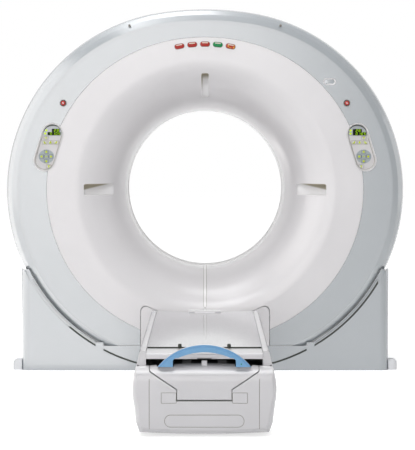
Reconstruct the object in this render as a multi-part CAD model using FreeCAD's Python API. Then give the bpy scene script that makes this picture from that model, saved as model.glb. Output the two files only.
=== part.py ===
"""Wide-bore CT scanner: a tilting oval gantry on a floor base, and a lifting patient couch.

Millimetres. The origin is on the floor under the isocentre, in the middle of the gantry's
anchor holes. +Z is up, -Y runs from the gantry to the foot of the couch, and +X is to the
right for someone who stands at that foot and looks into the bore.
"""
import FreeCAD, Part
import math
import os

V = FreeCAD.Vector

# ---- gantry ---------------------------------------------------------------
ISO_Z = 1025.0              # height of the bore axis, which is also the tilt axis
GANTRY_HALF_DEPTH = 480.0   # front and rear planes
SHELL_HALF_WIDTH = 1128.0   # outline of the shell, an oval of four arcs
SHELL_HALF_HEIGHT = 1030.0
SHELL_CROWN_RADIUS = 1700.0
SHELL_CENTRE_Z = 1017.0
SHELL_WALL = 5.0
# the shoulder: how far the outline draws in (second value) at each depth (first value)
SHOULDER = ((-480.0, 66.0), (-462.0, 34.0), (-430.0, 10.0), (-385.0, 0.0))
TILT_SWEEP_RADIUS = 1005.0  # the belly is round about the tilt axis, to clear the floor
COVER_SPLIT_Y = 330.0       # where the front and rear covers meet the side shell

DISC_HALF_WIDTH = 896.0     # edge of the white funnel cover
DISC_HALF_HEIGHT = 862.0
DISC_CROWN_RADIUS = 1000.0

BORE_RADIUS = 450.0
THROAT_HALF_LENGTH = 100.0  # straight middle of the bore
MOUTH_RADIUS = 690.0        # where the funnel's main arc would reach the front plane
LIP_ROLL_RADIUS = 190.0     # smaller arc that rolls the funnel into the flat front
FUNNEL_CONES = (4, 2)       # steps in the back of the funnel's skin, along each arc
COVER_GAP = 1.0             # half of a seam between two covers

# service panel low on the front: an arc about the bore, between two uprights
SERVICE_ARC_RADIUS = 735.5
SERVICE_HALF_WIDTH = 367.0
SERVICE_CORNER = 30.0
SERVICE_GAP = 2.5

# alignment-light recesses: middle radius, length, width, angle from +X
LASER_FLOOR = ((526.0, -333.0), (683.0, -432.0))   # radius and depth at the ends of the floor
LASER_WALL = 3.0
LASER_CORNER = 8.0
LASERS = ((593.0, 126.0, 37.0, 90.0), (604.5, 157.0, 60.0, 0.0), (604.5, 157.0, 60.0, 180.0))

SEAM_STRIP_WIDTH = 17.0
SEAM_STRIP_PROUD = 5.0
SEAM_STRIP_END_RADIUS = 660.0

LAMP_RADIUS = 822.0
LAMP_LENGTH = 55.0
LAMP_WIDTH = 28.0
LAMP_ANGLES = (100.1, 95.03, 90.0, 84.97, 79.9)

STOP_X = 800.0
STOP_Z = 1515.0
STOP_CAP_RADIUS = 15.5
STOP_STEM_RADIUS = 7.0
STOP_COLLAR_RADIUS = 19.0
STOP_STEM_ROOM = 1.0        # round the stem, through the cover

BADGE_X = 702.0
BADGE_Z = 1636.0
BADGE_LENGTH = 72.0
BADGE_WIDTH = 39.0

# ---- hand-control panels on the front ------------------------------------
PANEL_X = 884.0
PANEL_Z = 1266.0
PANEL_LENGTH = 280.0
PANEL_WIDTH = 125.0
PANEL_TILT = 17.0           # the top leans towards the bore
PANEL_RIM = 6.0
PANEL_FLOOR_Y = -470.0
PANEL_FLOOR = 4.0
DISPLAY_BOTTOM = 66.0       # lower edge of the display, above the panel's middle
DPAD_PLACE = (-13.0, -52.5)
DPAD_RADIUS = 43.0
DPAD_STEP = 26.0
KEY_CLEARANCE = 0.5
KEY_PROUD = 3.5
KEY_FLANGE = 2.0
KEY_CORNER = 3.0
# key name: place from the panel's middle (left panel, mirrored on the right), width, height
KEYS = {
    "light_key": (-14.0, 53.0, 20.0, 12.0),
    "tilt_back_key": (-22.0, 27.0, 20.0, 14.0),
    "home_key": (10.5, 27.0, 20.0, 14.0),
    "tilt_forward_key": (42.0, 27.0, 20.0, 14.0),
    "up_key": (DPAD_PLACE[0], DPAD_PLACE[1] + DPAD_STEP, 17.0, 15.0),
    "down_key": (DPAD_PLACE[0], DPAD_PLACE[1] - DPAD_STEP, 17.0, 15.0),
    "out_key": (DPAD_PLACE[0] - DPAD_STEP, DPAD_PLACE[1], 15.0, 17.0),
    "in_key": (DPAD_PLACE[0] + DPAD_STEP, DPAD_PLACE[1], 15.0, 17.0),
    "fast_key": (DPAD_PLACE[0], DPAD_PLACE[1], 18.0, 18.0),
    "unload_key": (0.5, -108.5, 22.0, 13.0),
}

# ---- gantry structure -----------------------------------------------------
STAND_X = (940.0, 1010.0)   # inner and outer face of a stand
STAND_NECK = 50.0           # half width where the tilting shell swings past
STAND_ROOM = 12.0           # between a stand and the shell at full tilt
STAND_HEAD_RADIUS = 110.0
STAND_NECK_FOOT_Z = 290.0
STAND_FOOT_HALF_DEPTH = 400.0
TRUNNION_RADIUS = 60.0
TRUNNION_CLEARANCE = 0.08
TILT_RANGE = 30.0
TILT_FRAME_Y = (130.0, 180.0)
TILT_FRAME_RADII = (640.0, 860.0)
BEARING_Y = (120.0, 190.0)
BEARING_BORE = 600.0
DRUM_Y = (60.0, 112.0)
DRUM_RADII = (500.0, 850.0)

# ---- gantry base ----------------------------------------------------------
BASE_HALF_WIDTH = 1042.0
BASE_CORNER = 50.0
BASE_HEIGHT = 577.0
BASE_WALL = 5.0
BASE_SILL = 38.0            # lowest strip, which runs on below the shell
SLIT_EDGE = 3.0             # how far the base cover's edge stands inside the shell's outline
SLIT_LIP = 13.0             # the same for the dark lip that closes the slit behind it
REAR_LAP = 28.0             # the same for the rear cover, which hides the slit
LIP_DEPTH = 6.0
APRON_LAP = 22.0            # the apron above the slit's groove reaches this far over the shell
APRON_CLEARANCE = 1.5       # between the apron and the belly that swings past it
BASE_CORNER_Y = 430.0       # where the front and side base covers meet
SIDE_SCOOP_RADIUS = 612.0   # clear of the tilting shell
TONGUE_X = (576.0, 621.0)   # tongues of the front base cover that bridge the slit
TONGUE_TOP_Z = 160.0
FLOOR_PLATE = 12.0
ANCHOR_X = 900.0
ANCHOR_Y = 380.0
ANCHOR_HOLE_RADIUS = 9.0
LUG_REACH = 1092.0
LUG_HEIGHT = 60.0
LUG_ROUND = 20.0

# ---- couch ----------------------------------------------------------------
COUCH_FAR_Y = -960.0        # end of the couch body at the gantry
COUCH_FOOT_Y = -3160.0      # front face at the foot
COUCH_COVER_Y = -3090.0     # where the foot cover meets the side covers
COUCH_WALL = 4.0
FOOT_TOP_Z = 312.0          # upper corners of the foot cover
FOOT_CROWN = 12.0           # how much its top rises to the middle
FOOT_ROLL_RADIUS = 75.0     # roll from its front face to its top
FOOT_PANEL_GAP = 3.0
KEYED_TAB = (124.0, 212.0, 165.0)   # half width, top and bottom of the keyed panel's tab
KEYED_SHOULDER_Z = 292.0    # where the keyed panel starts to draw in
PILL_Z = 73.0               # pill outline low on the foot cover
MARK_X = 158.0              # faint rectangles on the foot cover
MARK_Z = 176.0
LATCH_TAB_Y = (-3118.0, -3106.0)    # tab in the slot below the end cap
LATCH_TAB_Z = 339.0
COUCH_BOTTOM_Z = 20.0
RAIL_TOP_Z = 378.0
RAIL_X = (261.2, 290.0)     # side band beside the tabletop
DECK_Z = (296.0, 312.0)
TABLE_FAR_Y = -940.0
TABLE_NEAR_Y = -2890.0
TABLE_TOP_Z = 378.0
TABLE_HALF_WIDTH = 260.0
TABLE_EDGE = 15.0
TABLE_MIDDLE = 58.0
END_CAP_Y = (-3120.0, -2894.0)
END_CAP_Z = (346.0, 372.0)
KNOB_X = 112.0              # latch pins in the seam beside the end cap
KNOB_Y = -2902.0
KNOB_Z = (360.0, 392.0)
KNOB_RADIUS = 7.0
HANDLE_Y = (-3158.0, -3120.0)
HANDLE_FOOT_X = 208.0
HANDLE_FOOT_Z = 314.0
HANDLE_INNER_X = 140.0
HANDLE_NOTCH = 4.0          # room round the handle's feet in the foot panel's crown
HANDLE_TOP_Z = 412.0
HANDLE_RIM = 10.0
SEAM_X = 245.0
STAGE_Y = (-2900.0, -1300.0)
STAGE_WIDTHS = (282.0, 268.0, 254.0)   # half widths of the upper, lower and fixed stage
STAGE_TOP_Z = 290.0
COUCH_ANCHOR_X = 180.0
COUCH_ANCHOR_Y = (-2700.0, -1500.0)


# ---- helpers --------------------------------------------------------------
def box(x, y, z):
    """A box between the two values given for each axis."""
    return Part.makeBox(x[1] - x[0], y[1] - y[0], z[1] - z[0], V(x[0], y[0], z[0]))


def disc_y(radius, y, centre=(0.0, ISO_Z)):
    """A cylinder along Y between two depths."""
    return Part.makeCylinder(radius, y[1] - y[0], V(centre[0], y[0], centre[1]), V(0, 1, 0))


def ring_y(inner, outer, y, centre=(0.0, ISO_Z)):
    """A flat ring about an axis along Y."""
    return disc_y(outer, y, centre).cut(disc_y(inner, y, centre))


def oval_wire(half_width, half_height, crown_radius, centre_z, y):
    """An oval of four arcs that run into each other without a corner."""
    side = ((crown_radius - half_height) ** 2 - (crown_radius - half_width) ** 2) / (
        2 * (crown_radius - half_width))
    drop = crown_radius - half_height
    reach = math.hypot(side, drop)
    join = (side / reach * crown_radius, drop / reach * crown_radius - drop)
    at = lambda x, z: V(x, y, centre_z + z)
    right, top = at(half_width, 0), at(0, half_height)
    left, low = at(-half_width, 0), at(0, -half_height)
    a, b = at(join[0], join[1]), at(-join[0], join[1])
    c, d = at(-join[0], -join[1]), at(join[0], -join[1])
    arcs = [Part.Arc(d, right, a), Part.Arc(a, top, b), Part.Arc(b, left, c), Part.Arc(c, low, d)]
    return Part.Wire([arc.toShape() for arc in arcs])


def shell_wire(y, inset):
    return oval_wire(SHELL_HALF_WIDTH - inset, SHELL_HALF_HEIGHT - inset,
                     SHELL_CROWN_RADIUS - inset, SHELL_CENTRE_Z, y)


def oval_prism(half_width, half_height, crown_radius, centre_z, y):
    """A solid oval along Y between two depths."""
    wire = oval_wire(half_width, half_height, crown_radius, centre_z, y[0])
    return Part.Face(wire).extrude(V(0, y[1] - y[0], 0))


def shell_form(inset, depth_inset):
    """The whole gantry as one solid: oval with round shoulders and a belly that clears the floor."""
    front = [(y + depth_inset, draw + inset) for y, draw in SHOULDER]
    rear = [(-y, draw) for y, draw in reversed(front)]
    form = Part.makeLoft([shell_wire(y, draw) for y, draw in front + rear], True, True)
    belly = Part.makeCylinder(TILT_SWEEP_RADIUS - inset, 2400, V(-1200, 0, ISO_Z), V(1, 0, 0))
    above = box((-1200, 1200), (-600, 600), (ISO_Z, 2200))
    return form.common(belly.fuse(above))


def wire_xz(points, y):
    """A closed outline in X and Z. A point given as (x, z, "arc") is passed on an arc.

    The first point is a corner, and an arc runs from the corner before it to the one after.
    """
    edges = []
    start = V(points[0][0], y, points[0][1])
    last, through = start, None
    for point in list(points[1:]) + [points[0]]:
        here = V(point[0], y, point[1])
        if len(point) == 3:
            through = here
            continue
        if through is not None:
            edges.append(Part.Arc(last, through, here).toShape())
        else:
            edges.append(Part.makeLine(last, here))
        last, through = here, None
    return Part.Wire(edges)


def prism_xz(points, y):
    """A solid along Y from a closed outline in X and Z."""
    return Part.Face(wire_xz(points, y[0])).extrude(V(0, y[1] - y[0], 0))


def pill(length, width, y, place, angle=0.0):
    """A stadium-shaped solid along Y, its length turned by angle from +X."""
    r, h = width / 2, length / 2 - width / 2
    points = [(-h, -r), (h, -r), (h + r, 0, "arc"), (h, r), (-h, r), (-h - r, 0, "arc")]
    solid = prism_xz(points, y)
    solid.rotate(V(0, 0, 0), V(0, -1, 0), angle)
    solid.translate(V(place[0], 0, place[1]))
    return solid


def cut_corner_block(width, height, y, place, corner):
    """A block along Y with its four long edges cut flat."""
    w, h, c = width / 2, height / 2, corner
    points = [(-w + c, -h), (w - c, -h), (w, -h + c), (w, h - c), (w - c, h), (-w + c, h),
              (-w, h - c), (-w, -h + c)]
    return prism_xz([(x + place[0], z + place[1]) for x, z in points], y)


def rounded_block(width, height, y, place, radius):
    """A block along Y with its four long edges rounded."""
    solid = box((-width / 2, width / 2), y, (-height / 2, height / 2))
    long_edges = [e for e in solid.Edges if abs(e.tangentAt(e.FirstParameter).y) > 0.9]
    solid = solid.makeFillet(radius, long_edges)
    solid.translate(V(place[0], 0, place[1]))
    return solid


def mirror_x(shape):
    return shape.mirror(V(0, 0, 0), V(1, 0, 0))


def mirror_y(shape):
    return shape.mirror(V(0, 0, 0), V(0, 1, 0))


def group(shapes):
    return Part.makeCompound([solid for shape in shapes for solid in shape.Solids])


# ---- funnel ---------------------------------------------------------------
def funnel_arcs():
    """The funnel's main arc and its roll: each a centre (radius, depth) and a size."""
    rise = MOUTH_RADIUS - BORE_RADIUS
    run = GANTRY_HALF_DEPTH - THROAT_HALF_LENGTH
    size = (rise ** 2 + run ** 2) / (2 * rise)
    centre_r, centre_y = BORE_RADIUS + size, -THROAT_HALF_LENGTH
    roll_y = -GANTRY_HALF_DEPTH + LIP_ROLL_RADIUS
    apart = math.sqrt((size - LIP_ROLL_RADIUS) ** 2 - (centre_y - roll_y) ** 2)
    return ((centre_r, centre_y), size), ((centre_r - apart, roll_y), LIP_ROLL_RADIUS)


def funnel_turns(steps):
    """How far the face has turned, from 0 in the throat to a right angle on the flat front."""
    ((main_r, main_y), _), ((roll_r, roll_y), _) = funnel_arcs()
    join = math.atan2(main_y - roll_y, main_r - roll_r)
    along_main = [join * k / steps[0] for k in range(steps[0])]
    along_roll = [join + (math.pi / 2 - join) * k / steps[1] for k in range(steps[1] + 1)]
    return along_main + along_roll, join


def funnel_points(offset, steps):
    """Points on the funnel's face moved by offset, from the throat to the flat front."""
    main, roll = funnel_arcs()
    turns, join = funnel_turns(steps)
    points = []
    for turn in turns:
        (centre_r, centre_y), size = main if turn < join else roll
        size += offset
        points.append(V(centre_r - size * math.cos(turn), centre_y - size * math.sin(turn), 0))
    return points


def behind_funnel(offset, outer_radius=930.0):
    """All that lies behind the funnel's face moved by offset towards the viewer, as a ring."""
    throat, middle, join, rolling, lip = funnel_points(offset, (2, 2))
    far, back = V(outer_radius, lip.y, 0), V(outer_radius, throat.y, 0)
    edges = [Part.Arc(throat, middle, join).toShape(), Part.Arc(join, rolling, lip).toShape(),
             Part.makeLine(lip, far), Part.makeLine(far, back), Part.makeLine(back, throat)]
    ring = Part.Face(Part.Wire(edges)).revolve(V(0, 0, 0), V(0, 1, 0), 360)
    ring.translate(V(0, 0, ISO_Z))
    return ring


def behind_funnel_skin(outer_radius=930.0):
    """The same behind the skin, whose back is a few cones."""
    curve = funnel_points(-SHELL_WALL, FUNNEL_CONES)
    outline = curve + [V(outer_radius, curve[-1].y, 0), V(outer_radius, curve[0].y, 0)]
    wire = Part.makePolygon(outline + outline[:1])
    ring = Part.Face(wire).revolve(V(0, 0, 0), V(0, 1, 0), 360)
    ring.translate(V(0, 0, ISO_Z))
    return ring


def disc_prism(gap, y):
    return oval_prism(DISC_HALF_WIDTH - gap, DISC_HALF_HEIGHT - gap, DISC_CROWN_RADIUS - gap,
                      ISO_Z, y)


def funnel_blank():
    """The funnel cover before its openings: a thin funnel with a flat oval rim."""
    skin = behind_funnel(0).cut(behind_funnel_skin())
    return skin.common(disc_prism(COVER_GAP, (-500, 0)))


# ---- front features that several covers share ------------------------------
def service_zone(gap, y):
    """The service panel's outline, with its two upper corners rounded."""
    r, w = SERVICE_ARC_RADIUS + gap, SERVICE_HALF_WIDTH - gap
    corner_z = ISO_Z - math.sqrt(r ** 2 - w ** 2)
    outline = [(w, -50.0), (w, corner_z), (0.0, ISO_Z - r, "arc"), (-w, corner_z), (-w, -50.0)]
    solid = prism_xz(outline, y)
    corners = [e for e in solid.Edges
               if abs(e.Vertexes[0].Point.z - corner_z) < 0.01 and len(e.Vertexes) == 2
               and abs(e.Vertexes[1].Point.z - corner_z) < 0.01
               and abs(e.Vertexes[0].Point.x - e.Vertexes[1].Point.x) < 0.01]
    return solid.makeFillet(SERVICE_CORNER, corners)


def panel_outline(inset, y, side):
    """The pill of one control panel. side is -1 on the left and 1 on the right."""
    angle = 90.0 + side * PANEL_TILT
    return pill(PANEL_LENGTH - 2 * inset, PANEL_WIDTH - 2 * inset, y,
                (side * PANEL_X, PANEL_Z), angle)


def lamp_places():
    for angle in LAMP_ANGLES:
        a = math.radians(angle)
        yield (LAMP_RADIUS * math.cos(a), ISO_Z + LAMP_RADIUS * math.sin(a)), angle - 90.0


def lamp_block(y):
    return [pill(LAMP_LENGTH, LAMP_WIDTH, y, place, turn) for place, turn in lamp_places()]


def laser_block(grow, behind):
    """Blocks of the three recesses, down to a level behind the sloping floor."""
    (inner_r, inner_y), (outer_r, outer_y) = LASER_FLOOR
    slope = (outer_y - inner_y) / (outer_r - inner_r)
    blocks = []
    for radius, length, width, angle in LASERS:
        half = length / 2 + grow
        block = rounded_block(2 * half, width + 2 * grow, (-500, -300), (radius, 0),
                              LASER_CORNER + grow)
        floor = [V(r, inner_y + behind + slope * (r - inner_r), -100)
                 for r in (radius - half, radius + half)]
        side = [V(radius - half, -500, -100)] + floor + [V(radius + half, -500, -100)]
        wedge = Part.Face(Part.makePolygon(side + side[:1])).extrude(V(0, 0, 200))
        block = block.common(wedge)
        block.rotate(V(0, 0, 0), V(0, -1, 0), angle)
        block.translate(V(0, 0, ISO_Z))
        blocks.append(block)
    return blocks


def stop_places():
    return ((-STOP_X, STOP_Z), (STOP_X, STOP_Z))


# ---- gantry covers ----------------------------------------------------------
def ring_blank():
    """Front ring cover before its openings."""
    skin = shell_form(0, 0).cut(shell_form(SHELL_WALL, SHELL_WALL))
    zone = box((-1200, 1200), (-500, -COVER_SPLIT_Y), (-50, 2200))
    return skin.common(zone).cut(disc_prism(0, (-500, -300)))


def stand_fan():
    """Room in the shell for both stands while the gantry tilts either way."""
    lean = math.radians(TILT_RANGE)
    room = STAND_NECK + STAND_ROOM
    side = lambda r: (r * math.sin(lean) + room * math.cos(lean),
                      -r * math.cos(lean) + room * math.sin(lean))
    (near_y, near_z), (far_y, far_z) = side(430.0), side(720.0)
    outline = [V(925, -near_y, near_z), V(925, near_y, near_z), V(925, far_y, far_z),
               V(925, far_y, -760), V(925, -far_y, -760), V(925, -far_y, far_z)]
    fan = Part.Face(Part.makePolygon(outline + outline[:1])).extrude(V(100, 0, 0))
    fan.translate(V(0, 0, ISO_Z))
    return fan.fuse(mirror_x(fan))


def front_ring_cover(blank):
    cover = blank.cut(service_zone(0, (-500, -300))).cut(stand_fan())
    for side in (-1, 1):
        cover = cover.cut(panel_outline(0, (-500, -400), side))
    for place in stop_places():
        cover = cover.cut(disc_y(STOP_STEM_RADIUS + STOP_STEM_ROOM, (-500, -440), place))
    return cover.cut(pill(BADGE_LENGTH, BADGE_WIDTH, (-500, -440), (BADGE_X, BADGE_Z)))


def front_funnel_cover(blank):
    cover = blank.cut(service_zone(0, (-500, -300)))
    for side in (-1, 1):
        cover = cover.cut(panel_outline(0, (-500, -400), side))
    for hole in lamp_block((-500, -440)) + laser_block(LASER_WALL, LASER_WALL):
        cover = cover.cut(hole)
    return cover


def front_service_panel(ring, funnel):
    zone = service_zone(SERVICE_GAP, (-500, -300))
    parts = ring.common(zone).fuse(funnel.common(zone))
    bridge = disc_prism(-2.0, (-480, -475)).cut(disc_prism(3.0, (-480, -475))).common(zone)
    return parts.fuse(bridge).removeSplitter()


def gantry_side_shell():
    skin = shell_form(0, 0).cut(shell_form(SHELL_WALL, SHELL_WALL))
    zone = box((-1200, 1200), (-COVER_SPLIT_Y, COVER_SPLIT_Y), (-50, 2200))
    return skin.common(zone).cut(stand_fan())


def bore_liner():
    return ring_y(BORE_RADIUS, BORE_RADIUS + 4.0, (-THROAT_HALF_LENGTH, THROAT_HALF_LENGTH))


def laser_windows():
    """Three recesses with sloping floors, whose mouths follow the funnel."""
    body = behind_funnel(0)
    pairs = zip(laser_block(LASER_WALL, LASER_WALL), laser_block(0, 0))
    return group([outer.common(body).cut(hollow) for outer, hollow in pairs])


def seam_strip():
    """Raised strip along the bottom of the funnel, with a round end."""
    band = behind_funnel(SEAM_STRIP_PROUD).cut(behind_funnel(0))
    half = SEAM_STRIP_WIDTH / 2
    lane = box((-half, half), (-476, -THROAT_HALF_LENGTH), (ISO_Z - SEAM_STRIP_END_RADIUS, ISO_Z))
    end = disc_y(half, (-476, -100), (0, ISO_Z - SEAM_STRIP_END_RADIUS))
    return band.common(lane.fuse(end))


def badge_plate():
    return pill(BADGE_LENGTH, BADGE_WIDTH, (-476, -470), (BADGE_X, BADGE_Z))


# ---- control panels ---------------------------------------------------------
def key_place(name, side):
    x, z = KEYS[name][:2]
    return side * (PANEL_X - x), PANEL_Z + z


def key_block(name, side, grow, y):
    width, height = KEYS[name][2:]
    return cut_corner_block(width + 2 * grow, height + 2 * grow, y, key_place(name, side), KEY_CORNER)


def panel_housing(side):
    """A tray with a proud rim, a floor with key holes and a raised disc for the arrow keys."""
    tray = panel_outline(0, (-483, PANEL_FLOOR_Y + PANEL_FLOOR), side)
    tray = tray.cut(panel_outline(PANEL_RIM, (-484, PANEL_FLOOR_Y), side))
    disc_place = (side * (PANEL_X - DPAD_PLACE[0]), PANEL_Z + DPAD_PLACE[1])
    tray = tray.fuse(disc_y(DPAD_RADIUS, (PANEL_FLOOR_Y - 1.5, PANEL_FLOOR_Y), disc_place))
    for name in KEYS:
        tray = tray.cut(key_block(name, side, KEY_CLEARANCE, (-490, -400)))
    return tray


def panel_display(side):
    """Glass of the display, which fills the upper end of a panel."""
    glass = panel_outline(PANEL_RIM + 0.5, (PANEL_FLOOR_Y - 3.0, PANEL_FLOOR_Y), side)
    upper = box((side * PANEL_X - 150, side * PANEL_X + 150), (-500, -400),
                (PANEL_Z + DISPLAY_BOTTOM, PANEL_Z + 200))
    return glass.common(upper)


def panel_key(name, side):
    front = PANEL_FLOOR_Y - KEY_PROUD
    body = key_block(name, side, 0, (front, PANEL_FLOOR_Y + PANEL_FLOOR + 2.5))
    flange_y = (PANEL_FLOOR_Y + PANEL_FLOOR + 0.4, PANEL_FLOOR_Y + PANEL_FLOOR + 2.5)
    return body.fuse(key_block(name, side, KEY_FLANGE, flange_y)).removeSplitter()


def stop_collar(place):
    collar = ring_y(STOP_STEM_RADIUS + STOP_STEM_ROOM, STOP_COLLAR_RADIUS, (-488, -480), place)
    return collar.cut(disc_y(STOP_CAP_RADIUS + 0.8, (-490, -482), place))


def stop_button(place):
    """Mushroom head on a stem that passes through the ring cover."""
    cap, stem, back = STOP_CAP_RADIUS, STOP_STEM_RADIUS, STOP_STEM_RADIUS + 3.0
    profile = [(0.0, -500.0), (cap - 5, -499.0), (cap - 1, -496.0), (cap, -492.5), (cap, -488.0),
               (stem, -488.0), (stem, -474.0), (back, -474.0), (back, -462.0), (0.0, -462.0)]
    wire = Part.makePolygon([V(r, y, 0) for r, y in profile + profile[:1]])
    button = Part.Face(wire).revolve(V(0, 0, 0), V(0, 1, 0), 360)
    button.translate(V(place[0], 0, place[1]))
    return button


# ---- gantry structure -------------------------------------------------------
def tilt_frame():
    """Ring that carries the bearing and the covers, with a trunnion on each side."""
    inner, outer = TILT_FRAME_RADII
    frame = ring_y(inner, outer, TILT_FRAME_Y)
    room = shell_form(SHELL_WALL, SHELL_WALL)
    for angle in (50.0, 90.0, 130.0, 238.0, 302.0):
        arm = box((outer - 20, 1300), TILT_FRAME_Y, (-35, 35))
        arm.rotate(V(0, 0, 0), V(0, -1, 0), angle)
        arm.translate(V(0, 0, ISO_Z))
        frame = frame.fuse(arm.common(room))
    shoulder_x = STAND_X[0] - 6.0
    for side in (-1, 1):
        cheek = box((800, shoulder_x), (-90, 180), (ISO_Z - 90, ISO_Z + 90))
        cheek = cheek.cut(disc_y(DRUM_RADII[1] + 10, (-100, TILT_FRAME_Y[0])))
        pin = Part.makeCylinder(TRUNNION_RADIUS, STAND_X[1] + 12 - shoulder_x,
                                V(shoulder_x, 0, ISO_Z), V(1, 0, 0))
        piece = cheek.fuse(pin)
        frame = frame.fuse(piece if side > 0 else mirror_x(piece))
    return frame.removeSplitter()


def rotor_bearing():
    return ring_y(BEARING_BORE, TILT_FRAME_RADII[0], BEARING_Y)


def rotor_drum():
    plate = ring_y(DRUM_RADII[0], DRUM_RADII[1], DRUM_Y)
    hub = ring_y(BEARING_BORE - 40, BEARING_BORE - 0.05, (DRUM_Y[0], BEARING_Y[1] - 5))
    return plate.fuse(hub).removeSplitter()


def xray_tube():
    """Tube housing across the rotor, with its cooler."""
    tube = Part.makeCylinder(95, 260, V(0, DRUM_Y[0] - 260, ISO_Z + 700), V(0, 1, 0))
    cooler = box((-230, 230), (DRUM_Y[0] - 150, DRUM_Y[0]), (ISO_Z + 700, ISO_Z + 790))
    return tube.fuse(cooler.common(disc_y(DRUM_RADII[1] - 20, (-200, 60))))


def collimator():
    low, high = ISO_Z + 545, ISO_Z + 604
    outline = [(-70.0, high), (70.0, high), (95.0, low), (-95.0, low)]
    return prism_xz(outline, (DRUM_Y[0] - 130, DRUM_Y[0]))


def detector_array():
    """Curved bank of detectors opposite the tube."""
    bank = ring_y(720, 800, (DRUM_Y[0] - 120, DRUM_Y[0]))
    wedge = [(0.0, ISO_Z), (-560.0, ISO_Z - 1000), (560.0, ISO_Z - 1000)]
    return bank.common(prism_xz(wedge, (-100, 100)))


def rotor_power_units():
    right = box((560, 780), (DRUM_Y[0] - 170, DRUM_Y[0]), (ISO_Z - 150, ISO_Z + 180))
    left = box((-780, -560), (DRUM_Y[0] - 150, DRUM_Y[0]), (ISO_Z - 190, ISO_Z + 140))
    return group([right, left])


# ---- gantry base ------------------------------------------------------------
def floor_frame():
    """Steel frame on the floor, with anchor holes and a levelling lug at each corner."""
    sides = box((870, BASE_HALF_WIDTH - BASE_WALL), (-BASE_CORNER_Y, BASE_CORNER_Y),
                (0, FLOOR_PLATE))
    frame = sides.fuse(mirror_x(sides))
    for y in ((-BASE_CORNER_Y, -395), (395, BASE_CORNER_Y)):
        frame = frame.fuse(box((-880, 880), y, (0, FLOOR_PLATE)))
    lug = box((BASE_HALF_WIDTH, LUG_REACH), (-450, -360), (0, LUG_HEIGHT))
    outer = [e for e in lug.Edges if e.CenterOfMass.x > LUG_REACH - 1]
    top = [e for e in outer if e.CenterOfMass.z > LUG_HEIGHT - 1]
    upright = [e for e in outer if abs(e.tangentAt(e.FirstParameter).z) > 0.9]
    lug = lug.makeFillet(LUG_ROUND, top + upright)
    for piece in [lug, mirror_y(lug), mirror_x(lug), mirror_x(mirror_y(lug))] + lug_ties():
        frame = frame.fuse(piece)
    for x in (-ANCHOR_X, ANCHOR_X):
        for y in (-ANCHOR_Y, ANCHOR_Y):
            frame = frame.cut(Part.makeCylinder(ANCHOR_HOLE_RADIUS, 20, V(x, y, -4)))
    return frame.removeSplitter()


def stand():
    """Tilt bearing stand: a flared foot, a slim neck and a round head."""
    n, f = STAND_NECK, STAND_FOOT_HALF_DEPTH
    foot, neck = FLOOR_PLATE, STAND_NECK_FOOT_Z
    outline = [V(0, -f, foot), V(0, f, foot), V(0, f, foot + 40), V(0, n, neck),
               V(0, n, ISO_Z), V(0, -n, ISO_Z), V(0, -n, neck), V(0, -f, foot + 40)]
    web = Part.Face(Part.makePolygon(outline + outline[:1]))
    web = web.extrude(V(STAND_X[1] - STAND_X[0], 0, 0))
    web.translate(V(STAND_X[0], 0, 0))
    head = Part.makeCylinder(STAND_HEAD_RADIUS, STAND_X[1] - STAND_X[0],
                             V(STAND_X[0], 0, ISO_Z), V(1, 0, 0))
    bore = Part.makeCylinder(TRUNNION_RADIUS + TRUNNION_CLEARANCE, 200,
                             V(STAND_X[0] - 50, 0, ISO_Z), V(1, 0, 0))
    holes = [Part.makeCylinder(ANCHOR_HOLE_RADIUS + 8, 400, V(ANCHOR_X, y, 0))
             for y in (-ANCHOR_Y, ANCHOR_Y)]
    solid = web.fuse(head).cut(bore)
    for hole in holes:
        solid = solid.cut(hole)
    return solid.removeSplitter()


def lug_ties():
    """The parts of the floor frame that reach the corner lugs, through the base covers."""
    tie = box((BASE_HALF_WIDTH - 20, BASE_HALF_WIDTH + 5), (-440, -370), (0, FLOOR_PLATE))
    return [tie, mirror_y(tie), mirror_x(tie), mirror_x(mirror_y(tie))]


def base_wall():
    """The upright wall round the base, with rounded corners."""
    def block(inset):
        solid = box((-BASE_HALF_WIDTH + inset, BASE_HALF_WIDTH - inset),
                    (-GANTRY_HALF_DEPTH + inset, GANTRY_HALF_DEPTH - inset), (0, BASE_HEIGHT))
        upright = [e for e in solid.Edges if abs(e.tangentAt(e.FirstParameter).z) > 0.9]
        return solid.makeFillet(BASE_CORNER - inset, upright)
    wall = block(0).cut(block(BASE_WALL))
    for tie in lug_ties():
        wall = wall.cut(tie)
    return wall


def shell_room(lap, sill):
    """Space that a base cover leaves for the shell. lap is how far it covers the outline."""
    room = oval_prism(SHELL_HALF_WIDTH - lap, SHELL_HALF_HEIGHT - lap,
                      SHELL_CROWN_RADIUS - lap, SHELL_CENTRE_Z, (-600, 600))
    return room.common(box((-1200, 1200), (-600, 600), (sill, 2200)))


def base_apron(y):
    """Narrow plate above the slit, which fills the front up to the circle the shell swings on."""
    room = shell_room(SLIT_LIP, BASE_SILL + SLIT_LIP - SLIT_EDGE)
    plate = box((-1200, 1200), y, (0, BASE_HEIGHT)).common(room)
    swing = Part.makeCylinder(TILT_SWEEP_RADIUS + APRON_CLEARANCE, 2 * TONGUE_X[0],
                              V(-TONGUE_X[0], 0, ISO_Z), V(1, 0, 0))
    middle = plate.common(box((-TONGUE_X[0], TONGUE_X[0]), y, (0, 200))).cut(swing)
    sides = plate.cut(box((-TONGUE_X[0], TONGUE_X[0]), y, (0, BASE_HEIGHT)))
    return middle.fuse(sides.cut(shell_room(APRON_LAP, 0)))


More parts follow.
